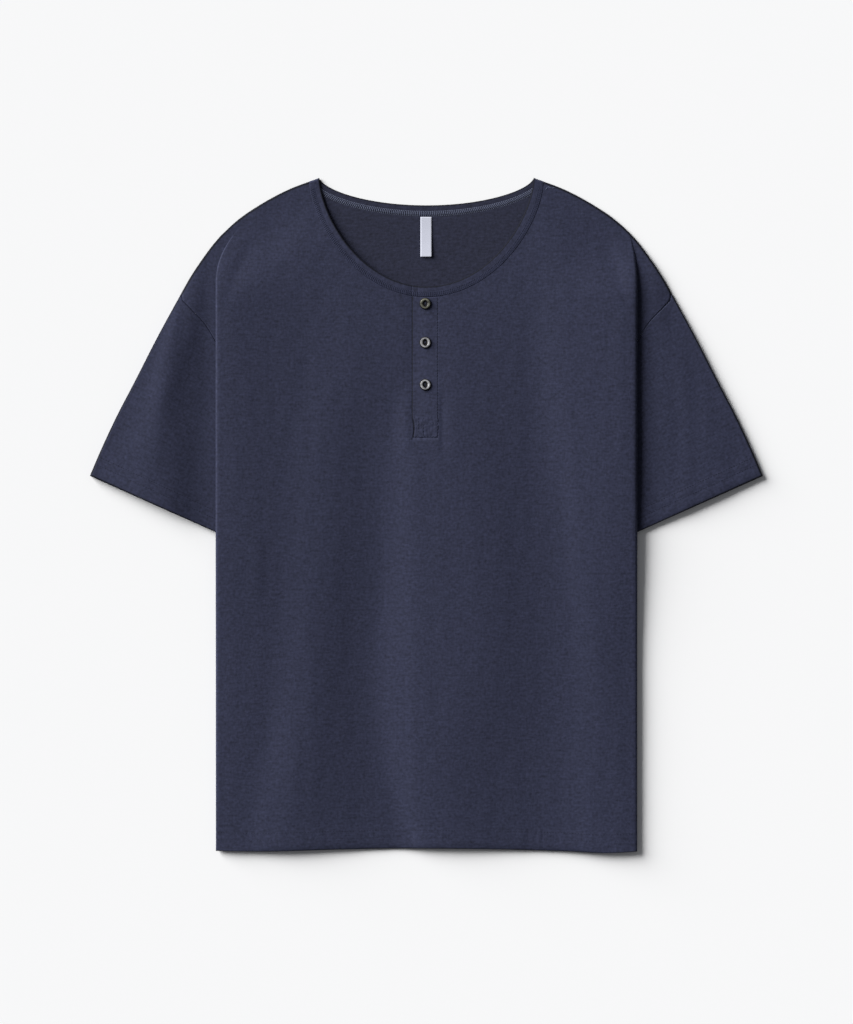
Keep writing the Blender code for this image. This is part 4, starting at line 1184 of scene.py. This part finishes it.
def button(name, y, finishes, node):
    """A turned disc: rings run from the middle over the rim and under to the flat back, with
    the oval hollow and the holes pressed into its top.

    The second finish is painted shade, on the outer edge, the back and the hollow. The thread
    is two stitches between the holes."""
    turn = np.linspace(0, 2 * math.pi, ROUND_POINTS, endpoint=False)[None, :]
    r = BUTTON_RADIUS * np.array(BUTTON_RINGS["radius"])[:, None]
    level = np.array(BUTTON_RINGS["height"])[:, None]
    x, dy = r * np.cos(turn), r * np.sin(turn)
    z = BUTTON_HEIGHT * level + 0 * turn
    on_top = (np.arange(len(r)) < TOP_RINGS)[:, None]
    eye = np.hypot(x / EYE[0], dy / EYE[1])
    holes = sum(smooth((HOLE_RADIUS + 0.12 - np.hypot(x, dy - at)) / 0.25) for at in (HOLE_Y, -HOLE_Y))
    z = z - (EYE_DEPTH * smooth((1.1 - eye) / 0.4) + HOLE_DEPTH * holes) * on_top
    beside = y + np.array([-BUTTON_RADIUS, 0.0, BUTTON_RADIUS])
    seat = placket_surface(BUTTON_X + 0 * beside, beside)[:, 2].max()
    base = seat + JERSEY / 2 + BUTTON_GAP
    points = np.stack([BUTTON_X + x, y + dy, base + z], -1)

    last = (len(r) - 1) * ROUND_POINTS
    rows = np.arange(0, last, ROUND_POINTS)[:, None]
    j = np.arange(ROUND_POINTS)[None, :]
    k = (j + 1) % ROUND_POINTS
    lower = rows + ROUND_POINTS
    walls = np.stack([rows + j, lower + j, lower + k, rows + k], -1).reshape(-1, 4)
    pair = np.arange(0, ROUND_POINTS - 2, 2)[:, None]
    cap = np.concatenate([0 * pair, pair + 1, pair + 2, pair + 3], 1)
    faces = np.concatenate([walls, cap, last + cap[:, ::-1]])
    # Painted shade: the hollow, the outer edge and the back take the near-black second finish
    dark = (eye[:-1] < 1) | ~on_top[:-1]
    finish_of = np.concatenate([dark.ravel(), np.ones(2 * len(cap), bool)])
    piece = quad_mesh(name, points.reshape(-1, 3), faces, finishes)
    piece.data.polygons.foreach_set("material_index", finish_of.astype(np.int32))
    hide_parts(node)

    beside = np.array([-0.3, 0.3])
    starts = np.stack([BUTTON_X + beside, y - HOLE_Y - 0.3 + 0 * beside, base + 0.8 + 0 * beside], -1)
    ends = starts + np.array([0.0, 2 * HOLE_Y + 0.6, 0.0])
    sewing(name + "_thread", starts, ends, BUTTON_THREAD, navy_thread, bow=0.3)


smoke_shell = shell_finish("smoke_shell", (0.16, 0.16, 0.17), (0.42, 0.42, 0.43), shine=1.0)
olive_shell = shell_finish("olive_shell", (0.05, 0.05, 0.04), (0.17, 0.17, 0.13), shine=1.0)
# Painted shade for the buttons' outer edges and hollows
painted_shade_edge = shell_finish("painted_shade_shell_edge", (0.008, 0.008, 0.010), (0.016, 0.015, 0.014), shine=0.0)
button("button_1_shell", BUTTON_Y[0], (olive_shell, painted_shade_edge), "button_1")
button("button_2_shell", BUTTON_Y[1], (smoke_shell, painted_shade_edge), "button_2")
button("button_3_shell", BUTTON_Y[2], (smoke_shell, painted_shade_edge), "button_3")


# --- Size label ----------------------------------------------------------------------
# A blank tab of pale woven satin, caught in the back neck seam and hanging free below it.

LABEL_X = (-6.4, 5.6)
LABEL_START = 1.4  # under the neckband's seam
LABEL_LENGTH = 42.8
LABEL_WALL = 0.4
LABEL_GAP = 0.15  # air under it at its sewn end
LABEL_LIFT = 1.3  # its free end stands off by this much
LABEL_TWIST = 0.05  # and is turned a little, so much higher for each mm to the left
LABEL_MIDDLE = -0.4


def satin_finish(name, colour):
    """Woven satin tape: fine ribs across, and a faint shine along its length."""
    made, tree, shader = new_finish(name)
    place = add_node(tree, "ShaderNodeUVMap", uv_map="cut")
    waves = {"Vector": place.outputs["UV"], "Scale": 900.0}
    ribs = add_node(tree, "ShaderNodeTexWave", waves, bands_direction="Y")
    relief = {"Strength": 0.4, "Distance": 0.1 * MM, "Height": ribs.outputs["Fac"]}
    bump = add_node(tree, "ShaderNodeBump", relief)
    set_inputs(shader, {
        "Base Color": (*colour, 1),
        "Normal": bump.outputs["Normal"],
        "Roughness": 0.5,
        "Sheen Weight": 0.1,
    })
    return made


label_white = satin_finish("label_satin", (0.555, 0.57, 0.66))
along = np.linspace(1, 0, 40)[:, None]
label_top = neck_y(0.0, BACK_DROP, 1.0) - LABEL_START
label_x, label_y = np.broadcast_arrays(np.linspace(*LABEL_X, 12)[None, :], label_top - LABEL_LENGTH * along)
label_grid = back_surface(label_x, label_y)
twist = LABEL_TWIST * (label_x - LABEL_MIDDLE) * along
label_grid[..., 2] += (JERSEY + LABEL_WALL) / 2 + LABEL_GAP + LABEL_LIFT * along**2 + twist
label = cloth_piece("label_tape", label_grid, np.stack([label_x, label_y], -1), LABEL_WALL, (label_white,))
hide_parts("label")
